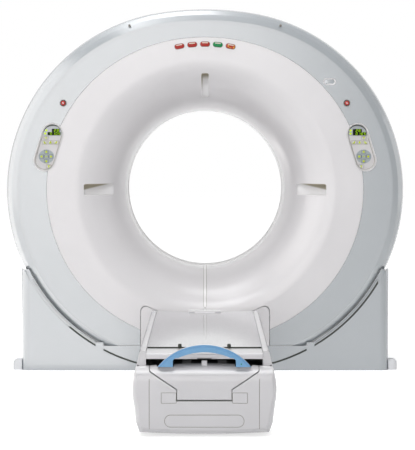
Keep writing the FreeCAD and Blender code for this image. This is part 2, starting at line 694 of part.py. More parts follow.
def base_front_cover(wall):
    """Front cover with a dark groove that carries the slit on, and two tongues across it."""
    cover = wall.common(box((-1200, 1200), (-600, -BASE_CORNER_Y), (-10, 700)))
    cover = cover.cut(shell_room(SLIT_EDGE, BASE_SILL))
    front, behind = -GANTRY_HALF_DEPTH, -GANTRY_HALF_DEPTH + BASE_WALL
    lip = box((-980, 980), (behind, behind + LIP_DEPTH), (0, 520))
    lip = lip.cut(shell_room(SLIT_LIP, BASE_SILL + SLIT_LIP - SLIT_EDGE))
    keep = shell_room(SLIT_EDGE - 25, BASE_SILL - 30)
    cover = cover.fuse(lip.common(keep))
    apron = base_apron((front, behind + LIP_DEPTH)).common(box((-980, 980), (-500, -400), (0, 520)))
    cover = cover.fuse(apron)
    for x in (TONGUE_X, (-TONGUE_X[1], -TONGUE_X[0])):
        cover = cover.fuse(box(x, (front, behind), (60.0, TONGUE_TOP_Z)))
    return cover.removeSplitter()


def base_rear_cover(wall):
    cover = wall.common(box((-1200, 1200), (-600, -BASE_CORNER_Y), (-10, 700)))
    return mirror_y(cover.cut(shell_room(REAR_LAP, BASE_SILL + 40))).removeSplitter()


def base_side_cover(wall):
    zone = box((900, 1200), (-BASE_CORNER_Y, BASE_CORNER_Y), (-10, 700))
    scoop = Part.makeCylinder(SIDE_SCOOP_RADIUS, 400, V(900, 0, ISO_Z), V(1, 0, 0))
    return wall.common(zone).cut(scoop)


# ---- couch ------------------------------------------------------------------
def couch_outline(inset):
    """Half of the couch's barrel-shaped section, from its top to its bottom edge."""
    return [(303.0 - inset, 318.0), (318.0 - inset, 262.0), (316.0 - inset, 150.0),
            (306.0 - inset, 66.0), (290.0 - inset, COUCH_BOTTOM_Z)]


def couch_side_cover():
    """Bulged side wall that rises into the white band beside the tabletop."""
    outer = couch_outline(0)
    inner = couch_outline(COUCH_WALL)
    points = [(RAIL_X[1], RAIL_TOP_Z - 2), outer[0], outer[1] + ("arc",), outer[2], outer[3],
              outer[4], inner[4], inner[3], inner[2], inner[1] + ("arc",), inner[0],
              (RAIL_X[1], DECK_Z[1])]
    return prism_xz(points, (COUCH_COVER_Y, COUCH_FAR_Y))


def couch_side_covers():
    side = couch_side_cover()
    end = box((-286, 286), (COUCH_FAR_Y - COUCH_WALL, COUCH_FAR_Y), (COUCH_BOTTOM_Z, DECK_Z[0]))
    return group([side, mirror_x(side), end])


def couch_frame():
    """Deck with a rail along each side, which the tabletop runs on."""
    deck = box((-RAIL_X[1] + 4, RAIL_X[1] - 4), (COUCH_COVER_Y, COUCH_FAR_Y), DECK_Z)
    rail = box((RAIL_X[0], RAIL_X[1]), (COUCH_COVER_Y, COUCH_FAR_Y + 10), (DECK_Z[0], RAIL_TOP_Z))
    top = [e for e in rail.Edges if e.CenterOfMass.z > RAIL_TOP_Z - 1
           and abs(e.tangentAt(e.FirstParameter).y) > 0.9]
    rail = rail.makeFillet(8.0, top)
    frame = deck.fuse(rail).fuse(mirror_x(rail))
    for x in ((-100, -60), (60, 100)):
        frame = frame.fuse(box(x, (COUCH_COVER_Y + 60, COUCH_FAR_Y), (DECK_Z[1], 318.0)))
    return frame.removeSplitter()


def tabletop():
    """Curved cradle top: thin edges, a deeper middle and a docking tongue at the far end."""
    w, top = TABLE_HALF_WIDTH, TABLE_TOP_Z
    outline = [(-w, top), (-w, top - TABLE_EDGE), (0.0, top - TABLE_MIDDLE, "arc"),
               (w, top - TABLE_EDGE), (w, top), (0.0, top - 5.0, "arc")]
    board = prism_xz(outline, (TABLE_NEAR_Y, TABLE_FAR_Y))
    tongue = box((-86, 86), (TABLE_FAR_Y - 60, TABLE_FAR_Y + 14), (top - 24, top + 6))
    edges = [e for e in tongue.Edges if abs(e.tangentAt(e.FirstParameter).z) > 0.9
             and e.CenterOfMass.y > TABLE_FAR_Y]
    return board.fuse(tongue.makeFillet(6.0, edges)).removeSplitter()


def tabletop_end_cap():
    """White carriage end behind the handle, with a finger recess in its lower edge."""
    low, top = END_CAP_Z
    block = box((-TABLE_HALF_WIDTH, TABLE_HALF_WIDTH), END_CAP_Y, (low, top))
    edges = [e for e in block.Edges if abs(e.tangentAt(e.FirstParameter).x) > 0.9
             and e.CenterOfMass.z > top - 1]
    block = block.makeFillet(10.0, edges)
    recess = pill(64, 12, (END_CAP_Y[0] - 1, END_CAP_Y[0] + 30), (0, low))
    window = box((-59, 59), (END_CAP_Y[0] - 1, END_CAP_Y[0] + 2), (low + 3, low + 15))
    joint = box((-TABLE_HALF_WIDTH + 20, TABLE_HALF_WIDTH - 20), (END_CAP_Y[1], TABLE_NEAR_Y),
                (low + 8, TABLE_TOP_Z - 12))
    cap = block.cut(recess).cut(window).fuse(joint).removeSplitter()
    for x in (-KNOB_X, KNOB_X):
        hole = Part.makeCylinder(KNOB_RADIUS, KNOB_Z[1], V(x, KNOB_Y, KNOB_Z[0]))
        cap = cap.cut(hole)
    return cap


def handle_outline(outset, y):
    """The arch: a round back, and legs whose inner corners hook in."""
    foot_x, foot_z, top = HANDLE_FOOT_X - outset, HANDLE_FOOT_Z, HANDLE_TOP_Z - outset
    inner_x, inner_top, hook_z = HANDLE_INNER_X, 380.0, 350.0
    outline = [(-inner_x, foot_z), (-inner_x, hook_z - 9), (-inner_x + 6, hook_z, "arc"),
               (-117.0, 354.0), (0.0, inner_top, "arc"), (117.0, 354.0),
               (inner_x - 6, hook_z, "arc"), (inner_x, hook_z - 9), (inner_x, foot_z),
               (foot_x, foot_z), (0.0, top, "arc"), (-foot_x, foot_z)]
    return prism_xz(outline, y)


def end_handle():
    return handle_outline(0.0, (HANDLE_Y[0] + 8, HANDLE_Y[1]))


def handle_face():
    return handle_outline(HANDLE_RIM, (HANDLE_Y[0], HANDLE_Y[0] + 8))


def release_knobs():
    """Two upright latch pins across the seam between the tabletop and the end cap."""
    return group([Part.makeCylinder(KNOB_RADIUS, KNOB_Z[1] - KNOB_Z[0], V(x, KNOB_Y, KNOB_Z[0]))
                  for x in (-KNOB_X, KNOB_X)])


def foot_section(inset, y):
    """Outline of the couch's foot: bulged sides, a crowned top and a slightly bowed bottom."""
    (top_x, _), (bulge_x, bulge_z), (waist_x, waist_z), (hip_x, hip_z), (low_x, low_z) = (
        couch_outline(inset))
    low, top = low_z + inset, FOOT_TOP_Z - inset
    outline = [(top_x, top), (bulge_x, bulge_z, "arc"), (waist_x, waist_z), (hip_x, hip_z),
               (low_x, low), (0.0, low - 8.0, "arc"), (-low_x, low), (-hip_x, hip_z),
               (-waist_x, waist_z), (-bulge_x, bulge_z, "arc"), (-top_x, top),
               (0.0, top + FOOT_CROWN, "arc")]
    return wire_xz(outline, y)


def foot_cover_form(inset):
    """The foot of the couch: barrel-shaped section, crowned top, rounded front edges."""
    sections = [(COUCH_FOOT_Y + inset, 22.0), (COUCH_FOOT_Y + 5 + inset, 10.0),
                (COUCH_FOOT_Y + 14 + inset, 3.0), (COUCH_FOOT_Y + 30, 0.0), (COUCH_COVER_Y, 0.0)]
    form = Part.makeLoft([foot_section(inset + draw, y) for y, draw in sections], True, True)
    roll_z = FOOT_TOP_Z + FOOT_CROWN - FOOT_ROLL_RADIUS
    roll = Part.makeCylinder(FOOT_ROLL_RADIUS - inset, 700,
                             V(-350, COUCH_FOOT_Y + FOOT_ROLL_RADIUS, roll_z), V(1, 0, 0))
    front = box((-350, 350), (COUCH_FOOT_Y, COUCH_COVER_Y), (0, roll_z))
    return form.common(front.fuse(roll))


def keyed_outline(gap, y):
    """Upper foot panel: wide at the top, drawn in to a tab that hangs in the lower panel."""
    tab_x, tab_top, tab_low = KEYED_TAB
    s, t, shoulder = SEAM_X - gap, tab_x - gap, KEYED_SHOULDER_Z + gap
    points = [(-s, 400.0), (-s, shoulder), (-t, tab_top + gap), (-t, tab_low + gap),
              (t, tab_low + gap), (t, tab_top + gap), (s, shoulder), (s, 400.0)]
    return prism_xz(points, y)


def couch_foot_shell():
    return foot_cover_form(0).cut(foot_cover_form(COUCH_WALL))


def couch_front_panel(shell):
    """Keyed panel with a notch for each foot of the handle and the tab that latches the end cap."""
    panel = shell.common(keyed_outline(FOOT_PANEL_GAP, (-3200, COUCH_COVER_Y)))
    notch = box((HANDLE_INNER_X - HANDLE_NOTCH, HANDLE_FOOT_X + HANDLE_NOTCH),
                (COUCH_FOOT_Y - 1, COUCH_COVER_Y + 1), (HANDLE_FOOT_Z - 2, 400))
    tab = box((-12, 12), LATCH_TAB_Y, (FOOT_TOP_Z - 2, LATCH_TAB_Z))
    return panel.cut(notch).cut(mirror_x(notch)).fuse(tab)


def couch_front_cover(shell):
    """Foot cover below and beside the keyed panel, with its seams and the pill outline."""
    cover = shell.cut(keyed_outline(0, (-3200, COUCH_COVER_Y + 1)))
    groove = (COUCH_FOOT_Y - 1, COUCH_FOOT_Y + 1.5)
    for x in (-SEAM_X, SEAM_X):
        cover = cover.cut(box((x - 1, x + 1), groove, (0, KEYED_SHOULDER_Z)))
    outline = pill(356, 56, groove, (0, PILL_Z)).cut(pill(352, 52, groove, (0, PILL_Z)))
    cover = cover.cut(outline)
    for x in (-MARK_X, MARK_X):
        mark = rounded_block(68, 48, groove, (x, MARK_Z), 3).cut(
            rounded_block(65, 45, groove, (x, MARK_Z), 2))
        cover = cover.cut(mark)
    return cover


def stage_tube(half_width, low, high):
    """One stage of the telescopic column that lifts the couch."""
    shift = STAGE_WIDTHS[0] - half_width
    def block(inset):
        solid = box((-half_width + inset, half_width - inset),
                    (STAGE_Y[0] + shift + inset, STAGE_Y[1] - shift - inset), (low, high))
        upright = [e for e in solid.Edges if abs(e.tangentAt(e.FirstParameter).z) > 0.9]
        return solid.makeFillet(30.0 - inset, upright)
    return block(0).cut(block(4.0))


def couch_floor_column():
    tube = stage_tube(STAGE_WIDTHS[2], FLOOR_PLATE, STAGE_TOP_Z)
    plate = box((-STAGE_WIDTHS[2], STAGE_WIDTHS[2]), (STAGE_Y[0] + 28, STAGE_Y[1] - 28),
                (0, FLOOR_PLATE))
    upright = [e for e in plate.Edges if abs(e.tangentAt(e.FirstParameter).z) > 0.9]
    plate = plate.makeFillet(30.0, upright)
    for x in (-COUCH_ANCHOR_X, COUCH_ANCHOR_X):
        for y in COUCH_ANCHOR_Y:
            plate = plate.cut(Part.makeCylinder(ANCHOR_HOLE_RADIUS, 20, V(x, y, -4)))
    return plate.fuse(tube).removeSplitter()


# ---- assembly ---------------------------------------------------------------
def build():
    ring, funnel = ring_blank(), funnel_blank()
    wall = base_wall()
    foot = couch_foot_shell()
    nodes = {
        "floor_frame": floor_frame(),
        "tilt_stands": group([stand(), mirror_x(stand())]),
        "base_front_cover": base_front_cover(wall),
        "base_rear_cover": base_rear_cover(wall),
        "base_side_covers": group([base_side_cover(wall), mirror_x(base_side_cover(wall))]),
        "couch_floor_column": couch_floor_column(),
        "tilt_frame": tilt_frame(),
        "rotor_bearing": rotor_bearing(),
        "front_ring_cover": front_ring_cover(ring),
        "front_funnel_cover": front_funnel_cover(funnel),
        "front_service_panel": front_service_panel(ring, funnel),
        "gantry_side_shell": gantry_side_shell(),
        "rear_ring_cover": mirror_y(ring.cut(stand_fan())),
        "rear_funnel_cover": mirror_y(funnel),
        "bore_liner": bore_liner(),
        "laser_windows": laser_windows(),
        "seam_strip": seam_strip(),
        "status_lamps": group(lamp_block((-484, -472))),
        "panel_housings": group([panel_housing(-1), panel_housing(1)]),
        "panel_displays": group([panel_display(-1), panel_display(1)]),
        "stop_collars": group([stop_collar(place) for place in stop_places()]),
        "badge_plate": badge_plate(),
        "rotor_drum": rotor_drum(),
        "xray_tube": xray_tube(),
        "collimator": collimator(),
        "detector_array": detector_array(),
        "rotor_power_units": rotor_power_units(),
        "couch_stage_lower": stage_tube(STAGE_WIDTHS[1], 14, STAGE_TOP_Z),
        "couch_stage_upper": stage_tube(STAGE_WIDTHS[0], 14, STAGE_TOP_Z),
        "couch_frame": couch_frame(),
        "couch_side_covers": couch_side_covers(),
        "couch_front_cover": couch_front_cover(foot),
        "couch_front_panel": couch_front_panel(foot),
        "tabletop": tabletop(),
        "tabletop_end_cap": tabletop_end_cap(),
        "end_handle": end_handle(),
        "handle_face": handle_face(),
        "release_knobs": release_knobs(),
    }
    for side, word in ((-1, "left"), (1, "right")):
        for name in KEYS:
            nodes[f"{word}_{name}"] = panel_key(name, side)
        nodes[f"{word}_stop_button"] = stop_button((side * STOP_X, STOP_Z))
    return nodes


def main():
    os.makedirs("parts", exist_ok=True)
    for name, shape in build().items():
        if not shape.isValid():
            print("not valid:", name)
        shape.exportStep(f"parts/{name}.step")
        print(name, len(shape.Solids), round(shape.Volume / 1e6, 2), "litres")


main()
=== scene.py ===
import math

import bmesh
import bpy
from mathutils import Matrix, Vector


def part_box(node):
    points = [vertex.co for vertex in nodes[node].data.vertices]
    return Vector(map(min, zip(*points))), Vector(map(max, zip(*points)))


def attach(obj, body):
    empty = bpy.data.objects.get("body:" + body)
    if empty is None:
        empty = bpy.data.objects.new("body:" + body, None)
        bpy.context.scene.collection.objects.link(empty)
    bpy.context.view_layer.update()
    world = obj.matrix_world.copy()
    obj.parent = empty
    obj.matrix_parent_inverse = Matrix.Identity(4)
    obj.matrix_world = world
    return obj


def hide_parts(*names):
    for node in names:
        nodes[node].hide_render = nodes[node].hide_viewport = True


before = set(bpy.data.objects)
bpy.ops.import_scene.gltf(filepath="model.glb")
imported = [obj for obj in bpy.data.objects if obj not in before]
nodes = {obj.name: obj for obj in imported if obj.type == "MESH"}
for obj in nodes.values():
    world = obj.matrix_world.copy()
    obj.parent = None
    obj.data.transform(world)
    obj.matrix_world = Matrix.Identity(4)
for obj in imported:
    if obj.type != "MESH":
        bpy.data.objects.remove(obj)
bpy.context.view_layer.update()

# ---- places, in metres, as the CAD has them ------------------------------------------------

AXIS_Z = 1.025                   # height of the bore axis
FRONT_Y = -0.480                 # flat front of the gantry
LAMP_RADIUS = 0.822              # the status lamps stand on this circle about the bore axis
LAMP_ANGLES = (100.1, 95.03, 90.0, 84.97, 79.9)
LAMP_SIZE = (0.055, 0.028)
PANEL_X = 0.884
PANEL_Z = 1.266
PANEL_LEAN = math.radians(17.0)  # each panel's top leans towards the bore
STOP_X = 0.800
STOP_Z = 1.515
PANEL_SIZE = (0.280, 0.125)
PANEL_TOP = (0.0227, 0.0741)     # centre of the round upper end, from the panel's middle
DPAD_PLACE = (-0.013, -0.0525)
DPAD_RADIUS = 0.0432             # just past the edge of the disc under the arrow keys
DPAD_RAISED_Y = -0.4705          # what lies before this is raised from the tray's floor
DPAD_FLATTENING = 1.12           # the disc is this much wider than high
BADGE_PLACE = (0.702, 1.636)
BADGE_SIZE = (0.072, 0.039)
SLIT_Y = -0.4755                 # the base's lip behind the slit starts here
FLAT_FRONT = -0.95               # the Y of its direction, for a face that looks forward
SLIT_SHADE_Z = 0.250              # on the left, the slit's painted shade reaches up to this height
FOOT_GROOVE_Y = (-3.1589, -3.1581)   # about the floor of the grooves in the couch's foot, which gets painted shade
FOOT_GROOVE_TOP_Z = 0.2615       # the grooves end at this height
KEYED_SEAM = (0.1612, 0.1652, 0.1245)   # painted shade along the seam below the keyed panel: heights and half width
HANDLE_FACE_Y = (-3.2, -3.1)     # the handle's front, which is blue under its face
ABOVE_ALL = 10.0                 # a height that nothing reaches
DECK_TOP_Z = (0.3105, 0.3135)    # about the couch frame's deck, seen through the slot above the foot and painted black as shade there
CAP_UNDER_Z = (0.3445, 0.3475)   # about the underside of the tabletop's end cap, which is painted black as shade
TONGUE_NEAR_Y = -1.0008          # near end of the docking tongue
TONGUE_STEPS = ((0.3755, 0.0865), (0.3600, 0.055))   # its white part: half width above a height
LUG_X = 1.0415                   # the floor frame's corner lugs reach out from here
SHELL = (1.128, 1.030, 1.700)    # the gantry's outline: half width, half height, crown radius
SHELL_MIDDLE_Z = 1.017
SHOULDER = ((-0.480, 0.066), (-0.462, 0.034), (-0.430, 0.010), (-0.385, 0.0))  # depth and inset
SWING_CLEARANCE = 0.002
APRON_X = (0.622, 0.979)         # the apron lips run over this stretch on each side
APRON_EDGE = 0.020               # inset of the apron's edge, which the lips overlap
APRON_BACK_Y = -0.474
CLOSER_X = (0.9805, 1.020)       # and their upper ends over this one, behind the base's front
CLOSER_DEPTH = 0.0054            # they stand this far behind it
CLOSER_THICK = 0.003
STRIP_CHAMFER = (0.0008, 0.001)  # depth and height of the cut along the strips' upper front edges
BASE_CORNER = (0.992, 0.050)     # where the base's corner starts to turn back, and its radius
BASE_TOP_Z = 0.576
COVER_EDGE = 0.003               # radius that the covers' edges look rounded to
SHOULDER_EDGE = 0.030            # and the gantry's front edge
SHOULDER_REACH = 0.83            # which lies beyond this, with the shell's outline at 1
SHOULDER_END_Y = -0.375          # and before this
PLASTIC_EDGE = 0.0015
METAL_EDGE = 0.001
CASTING_EDGE = 0.002
SIDES = (("left", -1), ("right", 1))

SHADOW_SLOPE = 0.23               # the side recesses' painted shadow lies above a line that falls this much outwards
NOISE_SPREAD = 0.2               # noise is taken to lie this close to a half

# Painted light and shade, each as the place where it starts and the length over which it comes in. Below
# zero, it comes in towards smaller values.
BELLY_TURN = (-0.93, 0.42)       # how far a face has turned away from the front, as its normal's Y
BELLY_DEPTH = (-0.385, -0.020)   # the shoulder's depth
BELLY_HEIGHT = (0.600, -0.040)
SIDE_SHADOW = (AXIS_Z + 0.154, 0.008)
SIDE_RECESSES = (0.4348, 0.0043)   # they lie farther from the middle than this
RIM_SIDE = (-0.011, -0.006)      # painted shade along the left edge of the top recess
RIM_HEIGHT = (AXIS_Z + 0.560, 0.080)
CROWN_HEIGHT = (AXIS_Z + 0.625, 0.025)   # and at its upper end
STRIP_SIDES = (0.0052, 0.0015)   # painted shade along the edges of the funnel's seam strip, from its middle
STRIP_END = (0.3605, -0.002)     # and its lower end

KEYS = ("light", "tilt_back", "home", "tilt_forward", "up", "down", "out", "in", "fast", "unload")
DPAD_KEYS = ("up", "down", "out", "in", "fast")


# ---- shader helpers ------------------------------------------------------------------------

def srgb(code):
    """Linear colour from the hex code that a colour has on screen."""
    parts = [int(code[k:k + 2], 16) / 255 for k in (0, 2, 4)]
    return [c / 12.92 if c <= 0.04045 else ((c + 0.055) / 1.055) ** 2.4 for c in parts] + [1.0]


def shaded(colour, factor):
    """The same colour made lighter or darker."""
    return [min(1.0, c * factor) for c in colour[:3]] + [1.0]


def node(material, kind, inputs=None, **settings):
    """A shader node. An input given as a socket is linked, and any other is set."""
    made = material.node_tree.nodes.new("ShaderNode" + kind)
    for name, value in settings.items():
        setattr(made, name, value)
    for name, value in (inputs or {}).items():
        if isinstance(value, bpy.types.NodeSocket):
            material.node_tree.links.new(value, made.inputs[name])
        else:
            made.inputs[name].default_value = value
    return made


def new_finish(name, **constants):
    """A material and its shader, with the sockets that are the same all over set on it."""
    material = bpy.data.materials.new(name)
    material.use_nodes = True
    shader = material.node_tree.nodes["Principled BSDF"]
    for socket, value in constants.items():
        shader.inputs[socket.replace("_", " ")].default_value = value
    return material, shader


def object_point(material):
    """The point's place on the object, as a vector."""
    return node(material, "TexCoord").outputs["Object"]


def mottle(material, point, scale, detail=3.0):
    """Soft noise about a half, as a number."""
    return node(material, "TexNoise", {"Vector": point, "Scale": scale, "Detail": detail}).outputs["Fac"]


def between(material, value, low, high):
    """Turns noise about a half into a number from low to high."""
    limits = {"From Min": 0.5 - NOISE_SPREAD, "From Max": 0.5 + NOISE_SPREAD, "To Min": low, "To Max": high}
    return node(material, "MapRange", {"Value": value, **limits}).outputs["Result"]


def colours(material, factor, first, second):
    """Mixes two colours, each a socket or a list of numbers."""
    mix = node(material, "Mix", {"Factor": factor}, data_type="RGBA")
    for socket, value in ((mix.inputs[6], first), (mix.inputs[7], second)):
        if isinstance(value, bpy.types.NodeSocket):
            material.node_tree.links.new(value, socket)
        else:
            socket.default_value = value
    return mix.outputs[2]


def toned(material, noise, code, dark, light):
    """One colour that drifts with noise from a darker to a lighter share of itself."""
    drift = between(material, noise, 0.0, 1.0)
    return colours(material, drift, shaded(srgb(code), dark), shaded(srgb(code), light))


def axes(material, vector):
    """The three parts of a vector."""
    return node(material, "SeparateXYZ", {"Vector": vector}).outputs


def reckon(material, operation, *values):
    """Arithmetic on sockets and numbers."""
    return node(material, "Math", dict(enumerate(values)), operation=operation).outputs[0]


def fold(material, operation, *values):
    """One operation run over several sockets: MULTIPLY gives where all hold, MAXIMUM where any does."""
    result = values[0]
    for value in values[1:]:
        result = reckon(material, operation, result, value)
    return result


def ramp(material, value, start, length):
    """A number that climbs from 0 to 1 over a length, and falls where the length is below zero."""
    climb = node(material, "MapRange", {"Value": value, "From Min": start, "From Max": start + length})
    return climb.outputs["Result"]


def place_and_facing(material):
    """The three parts of the point's place on the object, and of the direction that it faces."""
    coordinates = node(material, "TexCoord").outputs
    return axes(material, coordinates["Object"]), axes(material, coordinates["Normal"])


def surface(material, shader, colour=None, roughness=None, height=None, depth=0.1, edge=None):
    """Joins the varying parts to the shader; edge is the radius that sharp edges look rounded to."""
    links = material.node_tree.links
    if colour is not None:
        links.new(colour, shader.inputs["Base Color"])
    if roughness is not None:
        links.new(roughness, shader.inputs["Roughness"])
    normal = None
    if edge is not None:
        normal = node(material, "Bevel", {"Radius": edge}, samples=6).outputs["Normal"]
    if height is not None:
        inputs = {"Height": height, "Strength": depth, "Distance": 0.001}
        if normal:
            inputs["Normal"] = normal
        normal = node(material, "Bump", inputs).outputs["Normal"]
    if normal:
        links.new(normal, shader.inputs["Normal"])
    return material


def repaint(material, mask, code, bare=False):
    """Lays a second colour over a finished material where the mask is 1, and takes its coat off if bare."""
    shader = material.node_tree.nodes["Principled BSDF"]
    paint = shader.inputs["Base Color"].links[0].from_socket
    if bare:
        material.node_tree.links.new(reckon(material, "SUBTRACT", 1.0, mask), shader.inputs["Coat Weight"])
    return surface(material, shader, colours(material, mask, paint, srgb(code)))


# ---- finishes ------------------------------------------------------------------------------

def sprayed_paint(name, code, gloss=0.38, edge=COVER_EDGE, coat=1.55):
    """Two-pack cover paint: fine orange peel, a slow drift of tone, and sheen that varies a little.

    Without an edge radius it takes the gantry shell's, which differs from place to place.
    """
    material, shader = new_finish(name, Coat_Weight=1.0, Coat_Roughness=0.22, Coat_IOR=coat)
    point = object_point(material)
    tone = toned(material, mottle(material, point, scale=3.0), code, 0.975, 1.02)
    sheen = between(material, mottle(material, point, scale=24.0), gloss - 0.04, gloss + 0.05)
    peel = mottle(material, point, scale=420.0, detail=2.0)
    if edge is None:
        edge = shoulder_radius(material, point)
    return surface(material, shader, tone, sheen, peel, depth=0.05, edge=edge)


def shoulder_radius(material, point):
    """Radius that edges look rounded to: wide on the gantry's round shoulder and small elsewhere."""
    place = axes(material, point)
    across = reckon(material, "DIVIDE", place["X"], SHELL[0])
    above = reckon(material, "DIVIDE", reckon(material, "SUBTRACT", place["Z"], SHELL_MIDDLE_Z), SHELL[1])
    reach = reckon(material, "ADD", reckon(material, "MULTIPLY", across, across),
                   reckon(material, "MULTIPLY", above, above))
    outer = reckon(material, "GREATER_THAN", reach, SHOULDER_REACH)
    forward = reckon(material, "LESS_THAN", place["Y"], SHOULDER_END_Y)
    wide = reckon(material, "MULTIPLY", outer, forward)
    return reckon(material, "MULTIPLY_ADD", wide, SHOULDER_EDGE - COVER_EDGE, COVER_EDGE)


def silver_paint(name, code, edge=COVER_EDGE):
    """Grey-blue cover paint under a strong satin coat, which takes up the light from the left."""
    return sprayed_paint(name, code, 0.5, edge, 2.5)


def slit_painted_shade(name, code, dark):
    """The base's paint, with painted shade on the lip behind the slit: low down on the left, all of it on
    the right.
    """
    material = silver_paint(name, code)
    place, facing = place_and_facing(material)
    behind = reckon(material, "GREATER_THAN", place["Y"], SLIT_Y)
    forward = reckon(material, "LESS_THAN", facing["Y"], FLAT_FRONT)
    right = reckon(material, "GREATER_THAN", place["X"], 0.0)
    low = reckon(material, "LESS_THAN", place["Z"], reckon(material, "ADD", right, SLIT_SHADE_Z))
    return repaint(material, fold(material, "MULTIPLY", behind, forward, low), dark, bare=True)


def moulded_plastic(name, code, gloss=0.5, grain=900.0, depth=0.12):
    """Injection-moulded plastic with an eroded-tool grain."""
    material, shader = new_finish(name)
    point = object_point(material)
    tone = toned(material, mottle(material, point, scale=9.0), code, 0.96, 1.03)
    sheen = between(material, mottle(material, point, scale=60.0), gloss - 0.05, gloss + 0.06)
    bumps = mottle(material, point, grain, detail=1.0)
    return surface(material, shader, tone, sheen, bumps, depth, PLASTIC_EDGE)


def colour_or_shade_where(name, code, dark, axis, levels, way, limit, top=ABOVE_ALL):
    """Cover paint, bare and in a second colour on faces between two levels that face one way: painted
    shade, or the handle's own blue.
    """
    material = sprayed_paint(name, code, 0.4)
    place, facing = place_and_facing(material)
    above = reckon(material, "GREATER_THAN", place[axis], levels[0])
    below = reckon(material, "LESS_THAN", place[axis], levels[1])
    turned_to = reckon(material, way, facing[axis], limit)
    under_top = reckon(material, "LESS_THAN", place["Z"], top)
    mask = fold(material, "MULTIPLY", above, below, turned_to, under_top)
    return repaint(material, mask, dark, bare=True)


def seam_shade(material, seam, dark):
    """Adds painted shade along the seam below the keyed foot panel to a paint."""
    place = axes(material, object_point(material))
    low, high, half_width = seam
    above = reckon(material, "GREATER_THAN", place["Z"], low)
    below = reckon(material, "LESS_THAN", place["Z"], high)
    inside = reckon(material, "LESS_THAN", reckon(material, "ABSOLUTE", place["X"]), half_width)
    return repaint(material, fold(material, "MULTIPLY", above, below, inside), dark)


def belly_painted_light(name, code, pale):
    """The shell's paint, with painted light low down where the shoulder turns in behind the slit, to
    lighten its shade there.
    """
    material = silver_paint(name, code, None)
    place, facing = place_and_facing(material)
    turned_in = ramp(material, facing["Y"], *BELLY_TURN)
    shoulder = ramp(material, place["Y"], *BELLY_DEPTH)
    low = ramp(material, place["Z"], *BELLY_HEIGHT)
    return repaint(material, fold(material, "MULTIPLY", turned_in, shoulder, low), pale)


def recess_shade(name, code, glass):
    """The light recesses' plastic, with painted shadow widening towards their outer ends and painted shade
    at the top one's edges.
    """
    material = moulded_plastic(name, code, 0.5)
    place = axes(material, object_point(material))
    across = reckon(material, "ABSOLUTE", place["X"])
    slanted = reckon(material, "MULTIPLY_ADD", across, SHADOW_SLOPE, place["Z"])
    sides = reckon(material, "MULTIPLY", ramp(material, slanted, *SIDE_SHADOW),
                   ramp(material, across, *SIDE_RECESSES))
    rim = fold(material, "MULTIPLY", ramp(material, place["X"], *RIM_SIDE),
               ramp(material, place["Z"], *RIM_HEIGHT),
               reckon(material, "SUBTRACT", 1.0, ramp(material, across, *SIDE_RECESSES)))
    crown = ramp(material, place["Z"], *CROWN_HEIGHT)
    return repaint(material, fold(material, "MAXIMUM", sides, rim, crown), glass)


def strip_paint(name, code, edge):
    """The seam strip's paint, with painted shade along both edges and at its round end."""
    material = sprayed_paint(name, code, 0.4)
    place = axes(material, object_point(material))
    sides = ramp(material, reckon(material, "ABSOLUTE", place["X"]), *STRIP_SIDES)
    end = ramp(material, place["Z"], *STRIP_END)
    return repaint(material, reckon(material, "MAXIMUM", sides, end), edge)


def lacquered_top(name, code, tongue):
    """Clear lacquer over laminate, wiped along the tabletop, which ends in a white docking tongue."""
    material, shader = new_finish(name, Coat_Weight=0.72, Coat_Roughness=0.07, Coat_IOR=1.6)
    point = object_point(material)
    along = node(material, "Mapping", {"Vector": point, "Scale": (60.0, 1.5, 60.0)}).outputs["Vector"]
    wiped = mottle(material, along, scale=4.0, detail=4.0)
    laminate = toned(material, wiped, code, 0.975, 1.015)
    place = axes(material, point)
    across = reckon(material, "ABSOLUTE", place["X"])
    beyond = reckon(material, "GREATER_THAN", place["Y"], TONGUE_NEAR_Y)
    steps = []
    for height, half_width in TONGUE_STEPS:
        inside = reckon(material, "LESS_THAN", across, half_width)
        above = reckon(material, "GREATER_THAN", place["Z"], height)
        steps.append(fold(material, "MULTIPLY", beyond, inside, above))
    tone = colours(material, fold(material, "MAXIMUM", *steps), laminate, srgb(tongue))
    sheen = between(material, wiped, 0.14, 0.2)
    return surface(material, shader, tone, sheen, wiped, depth=0.02, edge=COVER_EDGE)


def machined_metal(name, code, gloss=0.32):
    """Bare metal with fine tool marks round the Y axis."""
    material, shader = new_finish(name, Metallic=1.0)
    point = object_point(material)
    drawn = node(material, "Mapping", {"Vector": point, "Scale": (1.0, 40.0, 1.0)}).outputs["Vector"]
    marks = mottle(material, drawn, scale=12.5, detail=4.0)
    tone = toned(material, marks, code, 0.88, 1.06)
    sheen = between(material, marks, gloss - 0.08, gloss + 0.1)
    return surface(material, shader, tone, sheen, marks, depth=0.1, edge=METAL_EDGE)


def painted_casting(name, code):
    """Enamel over a cast or welded surface, lumpy under the paint."""
    material, shader = new_finish(name)
    point = object_point(material)
    lumps = mottle(material, point, scale=90.0, detail=5.0)
    tone = toned(material, lumps, code, 0.9, 1.05)
    sheen = between(material, lumps, 0.47, 0.63)
    return surface(material, shader, tone, sheen, lumps, depth=0.4, edge=CASTING_EDGE)


def frame_paint(name, code, lug):
    """The floor frame's enamel, with the corner lugs in the covers' pale paint."""
    material = painted_casting(name, code)
    across = reckon(material, "ABSOLUTE", axes(material, object_point(material))["X"])
    return repaint(material, reckon(material, "GREATER_THAN", across, LUG_X), lug)


